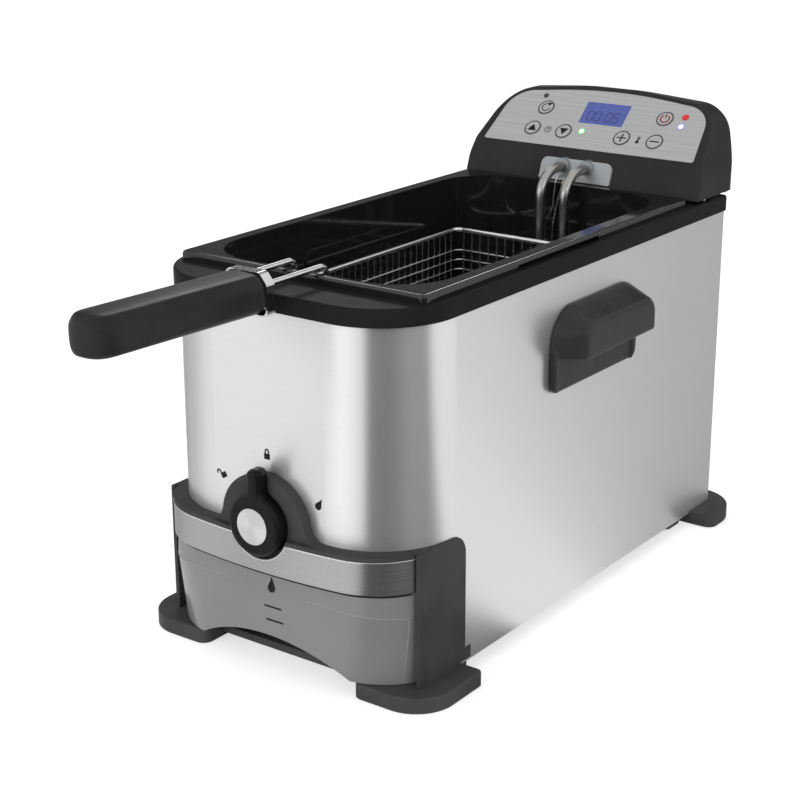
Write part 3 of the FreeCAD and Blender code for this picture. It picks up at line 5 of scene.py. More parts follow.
import bpy
from bpy.props import FloatProperty, FloatVectorProperty, PointerProperty
from mathutils import Matrix, Vector
from mathutils.bvhtree import BVHTree


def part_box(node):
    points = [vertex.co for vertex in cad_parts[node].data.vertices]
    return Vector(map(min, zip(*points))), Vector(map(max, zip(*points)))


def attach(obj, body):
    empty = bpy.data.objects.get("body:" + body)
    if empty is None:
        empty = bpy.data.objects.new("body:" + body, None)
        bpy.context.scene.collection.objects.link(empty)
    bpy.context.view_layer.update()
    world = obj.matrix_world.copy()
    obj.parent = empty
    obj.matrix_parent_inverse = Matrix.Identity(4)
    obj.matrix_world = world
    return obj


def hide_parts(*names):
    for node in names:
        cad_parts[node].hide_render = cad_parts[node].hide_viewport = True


bl_info = {
    "name": "Deep fryer looks",
    "version": (1, 0, 0),
    "blender": (4, 5, 0),
    "location": "View3D > Sidebar > Fryer",
    "description": "Finishes, basket wires, printed signs and stage of a deep fryer",
    "category": "Object",
}

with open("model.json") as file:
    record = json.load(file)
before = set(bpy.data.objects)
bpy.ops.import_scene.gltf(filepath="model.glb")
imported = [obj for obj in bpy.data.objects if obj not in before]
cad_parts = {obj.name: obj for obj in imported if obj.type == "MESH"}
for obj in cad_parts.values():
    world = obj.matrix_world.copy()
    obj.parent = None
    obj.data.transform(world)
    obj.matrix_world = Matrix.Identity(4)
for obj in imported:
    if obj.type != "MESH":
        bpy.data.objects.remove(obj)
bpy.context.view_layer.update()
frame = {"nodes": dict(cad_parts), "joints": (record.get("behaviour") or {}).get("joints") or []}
NODES = frame["nodes"]
MM = 0.001
OUTSIDE = 100.0 * MM


# Settings a user would change
def colour(label, text, value):
    return FloatVectorProperty(name=label, description=text, default=value, subtype="COLOR", min=0, max=1)


def length(label, text, millimetres):
    return FloatProperty(name=label, description=text, default=millimetres * MM, unit="LENGTH", precision=5)


def pair(label, text, across, up):
    """Setting of two lengths that belong together, such as a place on a face."""
    return FloatVectorProperty(name=label, description=text, default=(across * MM, up * MM), size=2,
                               unit="LENGTH", precision=5)


def angle(label, text, degrees):
    return FloatProperty(name=label, description=text, default=math.radians(degrees), subtype="ANGLE")


def power(label, text, watts):
    return FloatProperty(name=label, description=text, default=watts, unit="POWER")


class FryerFinishes(bpy.types.PropertyGroup):
    """Base colours of the finishes"""
    steel: colour("Steel", "Brushed steel of the housing", (0.76, 0.76, 0.755))
    band: colour("Band", "Darker steel of the front band", (0.4, 0.4, 0.4))
    # The band's edge colour is lighter than the band's own steel: it paints the edge's highlight
    band_highlight_edge: colour("Band edge", "Bright folded edge of the front band", (0.8, 0.8, 0.79))
    rim: colour("Rim", "Charcoal plastic of the top rim", (0.0192, 0.0192, 0.01944))
    front_frame: colour("Front frame", "Charcoal plastic of the front frame", (0.072, 0.072, 0.0729))
    base_frame: colour("Base", "Charcoal plastic of the base and feet", (0.0864, 0.0864, 0.08748))
    side_handle: colour("Side handles", "Charcoal plastic of the side handles", (0.048, 0.048, 0.0486))
    knob: colour("Knob", "Black plastic of the knob", (0.0096, 0.0096, 0.00972))
    cap: colour("Cap", "Spun metal of the knob's cap", (0.66, 0.66, 0.655))
    smoke: colour("Smoke", "Smoked plastic of the oil container", (0.25, 0.25, 0.252))
    # The smoke edge colour is a lighter copy of the smoked plastic that paints the highlight on the raised
    # edges
    smoke_highlight_edge: colour("Smoke edge", "Raised edges of the oil container", (0.375, 0.375, 0.378))
    lid: colour("Lid", "Plastic of the oil container's lid", (0.15, 0.15, 0.1512))
    enamel: colour("Enamel", "Glossy enamel of the bowl", (0.014, 0.014, 0.014))
    wire: colour("Wire", "Plated wire of basket and handle", (0.66, 0.66, 0.65))
    grip: colour("Grip", "Soft plastic of the basket handle", (0.0304, 0.0304, 0.03088))
    tube: colour("Tube", "Drawn tube of the heater", (0.36, 0.355, 0.345))
    bracket: colour("Bracket", "Bracket that carries the heater", (0.36, 0.375, 0.39))
    copper: colour("Copper", "Thermostat bulbs and capillary wires", (0.6, 0.55, 0.5))
    head: colour("Head", "Charcoal plastic of the control head", (0.036, 0.036, 0.03645))
    plate: colour("Plate", "Brushed plate of the control panel", (0.45, 0.452, 0.455))
    display: colour("Display", "Lit face of the display", (0.05, 0.075, 0.3))
    digits: colour("Digits", "Dim digits of the display", (0.03, 0.035, 0.22))
    ink: colour("Ink", "Printed signs", (0.02, 0.02, 0.022))
    power_ink: colour("Power ink", "Printed sign of the power key", (0.35, 0.02, 0.02))
    lamp_dark: colour("Dark lamp", "Lamp that is off", (0.02, 0.02, 0.02))
    lamp_green: colour("Green lamp", "Lit filter lamp", (0.75, 1.0, 0.8))
    lamp_white: colour("White lamp", "Lit ready lamp", (0.85, 0.87, 1.0))
    lamp_red: colour("Red lamp", "Lit power lamp", (0.8, 0.02, 0.015))
    halo_green: colour("Green halo", "Glow round the filter lamp", (0.1, 0.75, 0.2))
    halo_blue: colour("Blue halo", "Glow round the ready lamp", (0.22, 0.2, 0.85))
    halo_red: colour("Red halo", "Glow round the power lamp", (0.8, 0.03, 0.02))
    rubber: colour("Rubber", "Pads under the feet", (0.02, 0.02, 0.02))
    zinc: colour("Zinc", "Plated screws, clip and shaft", (0.55, 0.55, 0.54))
    sheet: colour("Sheet", "Deck, screen and strainer", (0.6, 0.6, 0.6))
    brass: colour("Brass", "Valve and inlet pins", (0.62, 0.44, 0.18))
    silicone: colour("Silicone", "Seal of the valve", (0.3, 0.05, 0.03))
    bush: colour("Bush", "Natural plastic of the knob's bush", (0.62, 0.6, 0.56))
    inner: colour("Inner", "Plastic inside the head", (0.05, 0.05, 0.05))
    board: colour("Board", "Circuit board", (0.02, 0.12, 0.04))


class FryerBand(bpy.types.PropertyGroup):
    """Sizes of the front band's folded edge, drawn in lighter steel as a painted highlight"""
    notch: length("Notch", "Radius of the edge round the knob", 25.6)
    edge_wire: length("Edge", "Radius of the folded edge", 0.4)
    side_inset: length("Side inset", "Ends of the edge from the band's sides", 0.5)
    top_inset: length("Top inset", "Edge below the band's top", 0.6)


class FryerKnob(bpy.types.PropertyGroup):
    """Sizes of the knob"""
    body: length("Body", "Radius of the knob's round body", 22.2)
    pointer: length("Pointer", "Half width of the knob's pointer", 5.4)
    tip: length("Tip", "Height of the pointer's tip above the axis", 40.0)
    tip_radius: length("Tip radius", "Rounding of the pointer's tip", 4.2)
    fillet: length("Fillet", "Hollow between body and pointer", 7.0)
    rounding: length("Rounding", "Rounded front edge of the knob", 3.6)
    cap_step: length("Cap step", "How far the cap stands out of the knob", 0.5)
    face_inset: length("Face inset", "Flat rim of the face inside the rounded edge", 0.4)


class FryerContainer(bpy.types.PropertyGroup):
    """Sizes and places of the raised edges, drawn as painted highlight lines, and of the signs on the oil
    container's panel
    """
    reach: length("Reach", "Half width of the panel's front that shows", 104.0)
    ridge: length("Ridge", "Depth of the ridge below the panel's top", 11.5)
    sag: length("Sag", "How far the ridge drops towards the ends", 6.5)
    # The painted highlight line along the ridge stops between these two places
    ridge_left: length("Left ridge", "Where the left ridge fades, from the middle", -20.0)
    ridge_right: length("Right ridge", "Where the right ridge fades, from the middle", 36.0)
    end_depth: length("End depth", "Depth of the upright edges behind the front", 30.0)
    end_low: length("End low", "Foot of the upright edges above the panel's bottom", 2.5)
    end_top: length("End top", "Head of the upright edges below the panel's top", 18.0)
    ridge_wire: length("Ridge wire", "Radius of the panel's fine edges", 0.3)
    drop: length("Drop", "Width of the drop sign", 6.5)
    drop_place: pair("Drop place", "Place of the drop from the panel's top middle", 8.5, -10.2)
    high_line: pair("High line", "Place of the upper level line from there", 8.5, -25.0)
    low_line: pair("Low line", "Place of the lower level line from there", 8.5, -36.0)
    level_line: pair("Level line", "Length and width of the level lines", 15.0, 1.5)
    seam_top: length("Seam top", "Top of the dark seam below the panel's top", 0.2)
    seam_low: length("Seam low", "Bottom of the dark seam below the panel's top", 1.6)


class FryerBasket(bpy.types.PropertyGroup):
    """Sizes of the wire nets"""
    pitch: length("Pitch", "Distance between the wires of the nets", 8.0)
    thickness: length("Wire", "Diameter of the net wires", 1.4)
    fold: length("Fold", "Bend radius where the nets turn up from the floor", 7.0)
    corner: length("Corner", "Radius of the upright corners", 7.0)


class FryerSigns(bpy.types.PropertyGroup):
    """Sizes and places of the printed signs"""
    lift: length("Lift", "Height of the print above its surface", 0.12)
    ring: length("Ring", "Line width of the key rings", 0.75)
    lock: length("Lock", "Width of the padlock signs", 5.0)
    filter_drop: length("Filter drop", "Width of the drop sign by the knob", 5.2)
    closed_lock: pair("Closed lock", "Place from the knob's axis", -1.4, 44.4)
    open_lock: pair("Open lock", "Place from the knob's axis", -40.8, 22.6)
    filter_place: pair("Filter place", "Place of the drop from the knob's axis", 42.0, 18.5)
    open_turn: angle("Open turn", "Turn of the open lock", 32.0)
    filter_turn: angle("Filter turn", "Turn of the drop by the knob", -30.0)
    clock: length("Clock", "Radius of the clock sign", 3.0)
    figure: pair("Figure", "Width and height of a display figure", 5.0, 9.6)
    figure_line: length("Figure line", "Line width of the display figures", 1.0)
    figure_down: length("Figure down", "Figures below the middle of the display", 3.0)


class FryerStage(bpy.types.PropertyGroup):
    """Camera, floor and lamps"""
    camera: FloatVectorProperty(name="Camera", description="Place from the housing's middle at floor level",
                                default=(0.7340, -1.0755, 0.5793), unit="LENGTH", precision=4)
    azimuth: angle("Azimuth", "Turn of the view from straight ahead", 36.22)
    elevation: angle("Elevation", "Downward look of the camera", 18.66)
    roll: angle("Roll", "Small turn about the line of sight", -0.17)
    lens: FloatProperty(name="Lens", description="Focal length", default=80.1, unit="CAMERA")
    floor: colour("Floor", "Pale floor", (0.9, 0.9, 0.9))
    back_tone: colour("Back tone", "Card that level glossy faces mirror", (0.14, 0.14, 0.14))
    key: power("Key", "Power of the main soft lamp", 17.0)
    fill: power("Fill", "Power of the fill lamp", 13.0)
    back: power("Back", "Power of the soft lamp behind", 4.0)


# Material helpers
class Finish:
    """A material being made: its shader, object coordinates and layers of procedural detail."""

    def __init__(self, name, base, sockets):
        self.material = bpy.data.materials.new(name)
        self.material.use_nodes = True
        self.nodes = self.material.node_tree.nodes
        self.links = self.material.node_tree.links
        self.shader = self.nodes["Principled BSDF"]
        self.shader.inputs["Base Color"].default_value = (*base, 1.0)
        for socket, value in sockets.items():
            self.shader.inputs[socket].default_value = value
        self.place = self.nodes.new("ShaderNodeTexCoord").outputs["Object"]
        self.last_normal = None

    def brushing(self, axis, amount):
        """Reflections drawn out across a grain that runs round an axis of the piece."""
        tangent = self.nodes.new("ShaderNodeTangent")
        tangent.direction_type = "RADIAL"
        tangent.axis = axis
        self.links.new(tangent.outputs["Tangent"], self.shader.inputs["Tangent"])
        self.shader.inputs["Anisotropic"].default_value = amount

    def streaks(self, stretch, detail=3.0, rough=0.55):
        """Noise over object coordinates, with this many grains in a metre along each axis."""
        mapping = self.nodes.new("ShaderNodeMapping")
        mapping.inputs["Scale"].default_value = stretch
        self.links.new(self.place, mapping.inputs["Vector"])
        noise = self.nodes.new("ShaderNodeTexNoise")
        noise.inputs["Scale"].default_value = 1.0
        noise.inputs["Detail"].default_value = detail
        noise.inputs["Roughness"].default_value = rough
        self.links.new(mapping.outputs["Vector"], noise.inputs["Vector"])
        return noise.outputs["Fac"]

    def cloud(self, grains, detail=3.0):
        """Noise that is alike along every axis."""
        return self.streaks((grains, grains, grains), detail)

    def shade(self, factor, dark, light, low=0.35, high=0.65):
        """Base colour runs from dark to light with the factor."""
        ramp = self.nodes.new("ShaderNodeValToRGB")
        ramp.color_ramp.elements[0].position = low
        ramp.color_ramp.elements[0].color = (*dark, 1.0)
        ramp.color_ramp.elements[1].position = high
        ramp.color_ramp.elements[1].color = (*light, 1.0)
        self.links.new(factor, ramp.inputs["Fac"])
        self.links.new(ramp.outputs["Color"], self.shader.inputs["Base Color"])

    def gloss(self, factor, smooth, rough, low=0.3, high=0.7):
        """Roughness runs from smooth to rough with the factor."""
        between = self.nodes.new("ShaderNodeMapRange")
        between.inputs["From Min"].default_value = low
        between.inputs["From Max"].default_value = high
        between.inputs["To Min"].default_value = smooth
        between.inputs["To Max"].default_value = rough
        self.links.new(factor, between.inputs["Value"])
        self.links.new(between.outputs["Result"], self.shader.inputs["Roughness"])

    def relief(self, factor, depth, strength=1.0):
        """Bump of a real depth in metres, added to any bump before it."""
        bump = self.nodes.new("ShaderNodeBump")
        bump.inputs["Distance"].default_value = depth
        bump.inputs["Strength"].default_value = strength
        self.links.new(factor, bump.inputs["Height"])
        if self.last_normal:
            self.links.new(self.last_normal, bump.inputs["Normal"])
        self.last_normal = bump.outputs["Normal"]
        self.links.new(self.last_normal, self.shader.inputs["Normal"])


def scaled(base, factor):
    return tuple(min(1.0, c * factor) for c in base)


def brushed_metal(name, base, grain, smooth, rough, metallic=1.0, drawn_out=0.0, contrast=0.05):
    """Brushed sheet: fine streaks along one direction, with roughness from smooth to rough."""
    finish = Finish(name, base, {"Metallic": metallic})
    if drawn_out:
        finish.brushing("Z", drawn_out)
        finish.shader.inputs["Anisotropic Rotation"].default_value = 0.25
    streaks = finish.streaks(grain, detail=4.0, rough=0.7)
    finish.shade(streaks, scaled(base, 1.0 - contrast), scaled(base, 1.0 + contrast))
    finish.gloss(streaks, smooth, rough)
    finish.relief(streaks, 0.004 * MM, strength=0.5)
    return finish.material


def moulded_plastic(name, base, smooth, rough, grain=2200.0, shine=0.2):
    """Moulded plastic: fine spark grain and a faint change of gloss."""
    finish = Finish(name, base, {"Specular IOR Level": shine})
    cloud = finish.cloud(30.0, detail=2.0)
    finish.shade(cloud, scaled(base, 0.88), scaled(base, 1.12))
    finish.gloss(cloud, smooth, rough)
    finish.relief(finish.cloud(grain, detail=1.0), 0.03 * MM)
    return finish.material


def smoked_plastic(name, base):
    """Smoked glossy plastic with slow clouds."""
    finish = Finish(name, base, {"Specular IOR Level": 0.5, "Coat Weight": 0.2})
    cloud = finish.streaks((5.0, 5.0, 14.0), detail=1.0)
    finish.shade(cloud, scaled(base, 0.92), scaled(base, 1.12), low=0.0, high=1.0)
    finish.gloss(cloud, smooth=0.2, rough=0.32)
    return finish.material


def plated_wire(name, base, smooth=0.14, rough=0.26):
    """Bright plated or drawn wire with faint draw marks."""
    finish = Finish(name, base, {"Metallic": 1.0})
    marks = finish.cloud(900.0, detail=2.0)
    finish.shade(marks, scaled(base, 0.86), scaled(base, 1.05))
    finish.gloss(marks, smooth, rough)
    return finish.material


def spun_metal(name, base, axis):
    """Metal turned about a level axis at this height: fine rings and drawn-out reflections."""
    finish = Finish(name, base, {"Metallic": 1.0})
    finish.brushing("Y", 0.9)
    shift = finish.nodes.new("ShaderNodeMapping")
    shift.inputs["Location"].default_value = (0.0, 0.0, -axis)
    finish.links.new(finish.place, shift.inputs["Vector"])
    rings = finish.nodes.new("ShaderNodeTexWave")
    rings.wave_type = "RINGS"
    rings.rings_direction = "Y"
    rings.inputs["Scale"].default_value = 700.0
    rings.inputs["Distortion"].default_value = 1.5
    finish.links.new(shift.outputs["Vector"], rings.inputs["Vector"])
    finish.gloss(rings.outputs["Fac"], smooth=0.26, rough=0.36, low=0.0, high=1.0)
    finish.relief(rings.outputs["Fac"], 0.03 * MM)
    return finish.material


def glossy_enamel(name, base):
    """Enamel: deep gloss with a faint orange peel."""
    finish = Finish(name, base, {"Specular IOR Level": 0.5})
    peel = finish.cloud(160.0, detail=1.0)
    finish.gloss(peel, smooth=0.05, rough=0.1)
    finish.relief(peel, 0.03 * MM, strength=0.5)
    return finish.material


def satin_sheet(name, base):
    """Satin painted sheet with faint clouds."""
    finish = Finish(name, base, {"Metallic": 0.3})
    cloud = finish.cloud(60.0, detail=2.0)
    finish.shade(cloud, scaled(base, 0.94), scaled(base, 1.106))
    finish.gloss(cloud, smooth=0.4, rough=0.55)
    return finish.material


def lit_plastic(name, base, glow, roughness=0.25, grains=500.0, dark=0.85, light=1.0):
    """Lit lens or display face with a slightly uneven tone."""
    lit = {"Roughness": roughness, "Emission Strength": glow, "Emission Color": (*base, 1.0)}
    finish = Finish(name, base, lit)
    finish.shade(finish.cloud(grains, detail=1.0), scaled(base, dark), scaled(base, light))
    return finish.material


def printing_ink(name, base):
    """Screen printed ink with a slightly uneven cover."""
    ink = Finish(name, base, {"Roughness": 0.5, "Specular IOR Level": 0.05})
    ink.shade(ink.cloud(400.0), scaled(base, 0.7), scaled(base, 1.4))
    return ink.material


def dim_segments(name, base):
    """Dim liquid-crystal segments under the display's face."""
    dim = Finish(name, base, {"Roughness": 0.2})
    dim.shade(dim.cloud(300.0), scaled(base, 0.87), scaled(base, 1.2))
    return dim.material


def dress(material, *names):
    """Gives CAD nodes a finished material."""
    for name in names:
        for slot in NODES[name].material_slots:
            slot.material = material


# Mesh helpers
def add_piece(name, data, body, material):
    """Links new mesh or curve data as a piece that rides on a body."""
    data.materials.append(material)
    piece = bpy.data.objects.new(name, data)
    bpy.context.scene.collection.objects.link(piece)
    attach(piece, body)
    return piece


def printed(name, shapes, place, body, material):
    """Flat print: each shape is a list of (u, v) points in metres on the surface that place gives."""
    points = []
    faces = []
    for shape in shapes:
        faces.append(range(len(points), len(points) + len(shape)))
        points += [place(u, v) for u, v in shape]
    mesh = bpy.data.meshes.new(name)
    mesh.from_pydata(points, [], faces)
    return add_piece(name, mesh, body, material)


def wires(name, paths, radius, body, material, closed=False):
    """Round wires along lists of points."""
    curve = bpy.data.curves.new(name, "CURVE")
    curve.dimensions = "3D"
    curve.bevel_depth = radius
    curve.bevel_resolution = 2
    curve.use_fill_caps = True
    for path in paths:
        spline = curve.splines.new("POLY")
        spline.points.add(len(path) - 1)
        for point, target in zip(spline.points, path):
            point.co = (*target, 1.0)
        spline.use_cyclic_u = closed
        spline.use_smooth = True
    return add_piece(name, curve, body, material)


def skinned(name, sections, body, material):
    """Smooth closed skin over rings of points, each with as many points as the others."""
    count = len(sections[0])
    points = [point for section in sections for point in section]
    faces = [range(count), range(len(points) - 1, len(points) - 1 - count, -1)]
    for start in range(0, len(points) - count, count):
        for i in range(count):
            ahead = (i + 1) % count
            faces.append((start + i, start + count + i, start + count + ahead, start + ahead))
    mesh = bpy.data.meshes.new(name)
    mesh.from_pydata(points, [], faces)
    mesh.shade_smooth()
    return add_piece(name, mesh, body, material)


def softened(name, node, body, material, cell, rounds):
    """Copy of a moulded node with its edges rounded over, in place of the node."""
    mesh = NODES[node].data.copy()
    mesh.materials.clear()
    piece = add_piece(name, mesh, body, material)
    even = piece.modifiers.new("even mesh", "REMESH")
    even.mode = "VOXEL"
    even.voxel_size = cell
    even.use_smooth_shade = True
    rounding = piece.modifiers.new("rounded edges", "SMOOTH")
    rounding.factor = 0.5
    rounding.iterations = rounds
    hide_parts(node)


# Places on the CAD nodes
def half_width(node):
    low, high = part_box(node)
    return (high.x - low.x) / 2


def knob_axis():
    """Height of the axis that the knob turns about."""
    low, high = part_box("knob_shaft")
    return (low.z + high.z) / 2


def surface(node):
    """Gives a function that finds where a straight line first meets a node."""
    mesh = NODES[node].data
    tree = BVHTree.FromPolygons([v.co for v in mesh.vertices], [p.vertices for p in mesh.polygons])

    def meet(start, direction):
        hit = tree.ray_cast(Vector(start), Vector(direction))[0]
        if hit is None:
            raise RuntimeError("no face of " + node + " lies on the line")
        return hit
    return meet


def front_place(node, lift):
    """Maps (across, height) to a point just in front of a node, seen from the front."""
    meet = surface(node)
    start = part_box(node)[0].y - OUTSIDE

    def place(u, v):
        return meet((u, start, v), (0.0, 1.0, 0.0)) - Vector((0.0, lift, 0.0))
    return place


def side_place(node, side):
    """Maps (depth, height) to a point on a node's left (-1) or right (1) side."""
    meet = surface(node)
    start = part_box(node)[1].x + OUTSIDE

    def place(u, v):
        return meet((side * start, u, v), (-side, 0.0, 0.0))
    return place


class ControlPlate:
    """Sloped plate of the control head, whose places are (across, up the slope)."""

    def __init__(self):
        press = next(j for j in frame["joints"] if j["child"] == "key_power")
        self.normal = -Vector(press["axis"]).normalized()
        self.slope = Vector((0.0, self.normal.z, -self.normal.y))
        points = [v.co for v in NODES["control_plate"].data.vertices]
        self.level = max(self.normal.dot(p) for p in points)
        self.start = min(self.slope.dot(p) for p in points)

    def above(self, lift):
        """Maps a place to a point lifted above the plate."""
        def place(u, v):
            along = self.slope * (self.start + v)
            return Vector((u, 0.0, 0.0)) + along + self.normal * (self.level + lift)
        return place

    def middle(self, node):
        """Place of a node's middle."""
        points = [v.co for v in NODES[node].data.vertices]
        across = [p.x for p in points]
        along = [self.slope.dot(p) - self.start for p in points]
        return (max(across) + min(across)) / 2, (max(along) + min(along)) / 2

    def rise(self, node):
        """How far a node stands above the plate."""
        return max(self.normal.dot(v.co) for v in NODES[node].data.vertices) - self.level


# Flat shapes
def spread(low, high, steps):
    """Even steps from one value to another."""
    return [low + (high - low) * i / steps for i in range(steps + 1)]


def bowed_spread(reach, steps=60):
    """Steps across a bowed front, closer together towards its rounded ends."""
    return [reach * math.sin(turn) for turn in spread(-math.pi / 2, math.pi / 2, steps)]


def arc(centre, radius, start, end, steps):
    """Points on an arc; angles in degrees."""
    turns = [math.radians(turn) for turn in spread(start, end, steps)]
    return [(centre[0] + radius * math.cos(t), centre[1] + radius * math.sin(t)) for t in turns]


def strip(outer, inner):
    """Quads between two rows of points."""
    return [[outer[i], outer[i + 1], inner[i + 1], inner[i]] for i in range(len(outer) - 1)]


def ring(centre, radius, width, start=0.0, end=360.0, steps=48):
    return strip(arc(centre, radius, start, end, steps), arc(centre, radius - width, start, end, steps))


def bar(centre, width, height):
    x, y = centre
    return [(x - width / 2, y - height / 2), (x + width / 2, y - height / 2),
            (x + width / 2, y + height / 2), (x - width / 2, y + height / 2)]


def turned(shapes, centre, turn):
    """Shapes turned about a point, anticlockwise."""
    cos, sin = math.cos(turn), math.sin(turn)
    x, y = centre
    return [[(x + (u - x) * cos - (v - y) * sin, y + (u - x) * sin + (v - y) * cos) for u, v in shape]
            for shape in shapes]


# Signs, drawn in parts of their own width or size
def drop_sign(centre, width):
    """Teardrop with its point up."""
    x, y = centre
    radius = width / 2
    shoulder = y + radius * 1.45
    tip = [(x + radius * 0.42, shoulder), (x, y + radius * 2.6), (x - radius * 0.42, shoulder)]
    return [arc(centre, radius, 155.0, 385.0, 30) + tip]


def lock_sign(centre, width, open_shackle):
    """Padlock seen from the front; an open one has its shackle swung out to the left."""
    x, y = centre
    line = width * 0.23
    bow_radius = width * 0.39
    shift = width * 0.58 if open_shackle else 0.0
    bow = (x - shift, y + width * 0.74)
    shapes = [bar(centre, width, width * 0.8)] + ring(bow, bow_radius, line, end=180.0, steps=20)
    for side in (-1, 1):
        leg = width * 0.14 if open_shackle and side < 0 else width * 0.36
        shapes.append(bar((bow[0] + side * (bow_radius - line / 2), bow[1] - leg / 2), line, leg))
    return shapes


def arrow_sign(centre, size, up):
    """Filled arrow head that points up (1) or down (-1)."""
    x, y = centre
    foot = y - up * size * 0.7
    return [[(x - size, foot), (x + size, foot), (x, y + up * size * 0.9)]]


def up_sign(centre, size):
    return arrow_sign(centre, size, 1)


def down_sign(centre, size):
    return arrow_sign(centre, size, -1)


def plus_sign(centre, size):
    return [bar(centre, size * 2, size * 0.28), bar(centre, size * 0.28, size * 2)]


def minus_sign(centre, size):
    return [bar(centre, size * 2.1, size * 0.28)]


def power_sign(centre, size):
    """Open ring with a stroke through its gap."""
    x, y = centre
    line = size * 0.26
    stroke = bar((x, y + size * 0.75), line, size * 0.95)
    return ring(centre, size * 1.05, line, start=125.0, end=415.0, steps=36) + [stroke]


def reset_sign(centre, size):
    """Open ring that ends in an arrow head."""
    x, y = centre
    head = [(x + size * 0.45, y + size * 0.35), (x + size * 1.05, y + size * 1.15),
            (x + size * 0.1, y + size * 1.25)]
    return ring(centre, size, size * 0.2, start=60.0, end=350.0, steps=36) + [head]


def clock_sign(centre, radius, line):
    """Clock face with two hands."""
    x, y = centre
    shapes = ring(centre, radius, line)
    shapes.append(bar((x, y + radius * 0.3), line, radius * 2 / 3))
    shapes.append(bar((x + radius * 0.7 / 3, y), radius * 1.6 / 3, line))
    return shapes


def heat_sign(centre):
    """Thermometer in its real size: a bulb under a stem, with three marks beside it."""
    x, y = centre
    bulb, bulb_hole, bulb_down = 1.5 * MM, 0.05 * MM, 2.2 * MM
    stem_width, stem_height, stem_up = 1.3 * MM, 4.6 * MM, 0.9 * MM
    mark_length, mark_width = 1.0 * MM, 0.4 * MM
    shapes = ring((x, y - bulb_down), bulb, bulb - bulb_hole)
    shapes.append(bar((x, y + stem_up), stem_width, stem_height))
    for up in (0.4, 1.6, 2.8):
        shapes.append(bar((x + bulb, y + up * MM), mark_length, mark_width))
    return shapes


def digit(centre, wide, tall, line, lit):
    """Seven-segment figure as bars."""
    x, y = centre
    quarter = tall / 4
    bars = {
        "a": bar((x, y + tall / 2), wide - line, line),
        "g": bar((x, y), wide - line, line),
        "d": bar((x, y - tall / 2), wide - line, line),
        "b": bar((x + wide / 2, y + quarter), line, quarter * 2 - line),
        "c": bar((x + wide / 2, y - quarter), line, quarter * 2 - line),
        "e": bar((x - wide / 2, y - quarter), line, quarter * 2 - line),
        "f": bar((x - wide / 2, y + quarter), line, quarter * 2 - line),
    }
    return [bars[name] for name in lit]


KEY_SIGNS = {
    "key_timer_up": up_sign,
    "key_timer_down": down_sign,
    "key_heat_up": plus_sign,
    "key_heat_down": minus_sign,
    "key_power": power_sign,
    "key_reset": reset_sign,
}


# Operators
class FRYER_OT_housing(bpy.types.Operator):
    """Finishes of the housing, rim, front frame, base, side handles and drain valve"""
    bl_idname = "fryer.housing"
    bl_label = "Housing"

    def execute(self, context):
        looks = context.scene.fryer_finishes
        self.metals(looks, context.scene.fryer_band)
        self.plastics(looks)
        self.valve(looks)
        return {"FINISHED"}

    def metals(self, looks, sizes):
        """Brushed wrap, band with its edge in lighter steel that paints a highlight, and plated small parts.
        """
        level_grain = (16.0, 16.0, 5000.0)
        steel = brushed_metal("housing steel", looks.steel, level_grain, smooth=0.28, rough=0.36,
                              metallic=0.8, drawn_out=0.8, contrast=0.03)
        dress(steel, "housing_wrap")
        band = brushed_metal("band steel", looks.band, level_grain, smooth=0.24, rough=0.34,
                             metallic=0.85, drawn_out=0.7)
        dress(band, "front_band")
        # The edge wire's lighter steel is a painted highlight
        self.band_highlight_edge(plated_wire("band highlight edge", looks.band_highlight_edge), sizes)
        zinc = plated_wire("screw zinc", looks.zinc, smooth=0.25, rough=0.4)
        dress(zinc, "base_screws", "handle_screws", "head_screws", "element_clip", "knob_shaft")

    def band_highlight_edge(self, metal, sizes):
        """Folded edge along the top of the band and down round the knob, in lighter steel that paints its
        highlight.
        """
        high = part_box("front_band")[1]
        axis = knob_axis()
        place = front_place("front_band", 0.0)
        outer, level = high.x - sizes.side_inset, high.z - sizes.top_inset
        start = math.degrees(math.asin((level - axis) / sizes.notch))
        inner = sizes.notch * math.cos(math.radians(start))
        run = [(x, level) for x in spread(-outer, -inner, 24)]
        run += arc((0.0, axis), sizes.notch, -180.0 - start, start, 30)
        run += [(x, level) for x in spread(inner, outer, 24)]
        path = [place(u, v) for u, v in run]
        wires("band_highlight_edge", [path], sizes.edge_wire, "housing", metal)

    def plastics(self, looks):
        """Moulded rim, frame, base and pads, and side handles with soft edges."""
        rim = moulded_plastic("rim plastic", looks.rim, smooth=0.34, rough=0.44, shine=0.03)
        dress(rim, "top_rim")
        front = moulded_plastic("frame plastic", looks.front_frame, smooth=0.45, rough=0.55, shine=0.02)
        dress(front, "front_frame")
        base = moulded_plastic("base plastic", looks.base_frame, smooth=0.4, rough=0.5, shine=0.03)
        dress(base, "base_frame")
        rubber = moulded_plastic("pad rubber", looks.rubber, smooth=0.7, rough=0.85, grain=900.0)
        dress(rubber, "foot_pads")
        hood = moulded_plastic("side handle plastic", looks.side_handle, smooth=0.24, rough=0.34, shine=0.12)
        for node in ("side_handle_left", "side_handle_right"):
            softened("soft_" + node, node, "housing", hood, cell=1.2 * MM, rounds=9)

    def valve(self, looks):
        """Deck, screen, strainer and drain valve, and the inlet's pins of the same brass."""
        cross_grain = (3000.0, 24.0, 24.0)
        sheet = brushed_metal("deck sheet", looks.sheet, cross_grain, smooth=0.3, rough=0.45)
        dress(sheet, "inner_deck", "filter_screen", "drain_strainer")
        brass = plated_wire("valve brass", looks.brass, smooth=0.25, rough=0.4)
        dress(brass, "valve_body", "valve_plug", "inlet_pins")
        dress(moulded_plastic("seal silicone", looks.silicone, smooth=0.5, rough=0.6), "valve_gasket")
        dress(moulded_plastic("bush plastic", looks.bush, smooth=0.4, rough=0.5), "knob_bush")


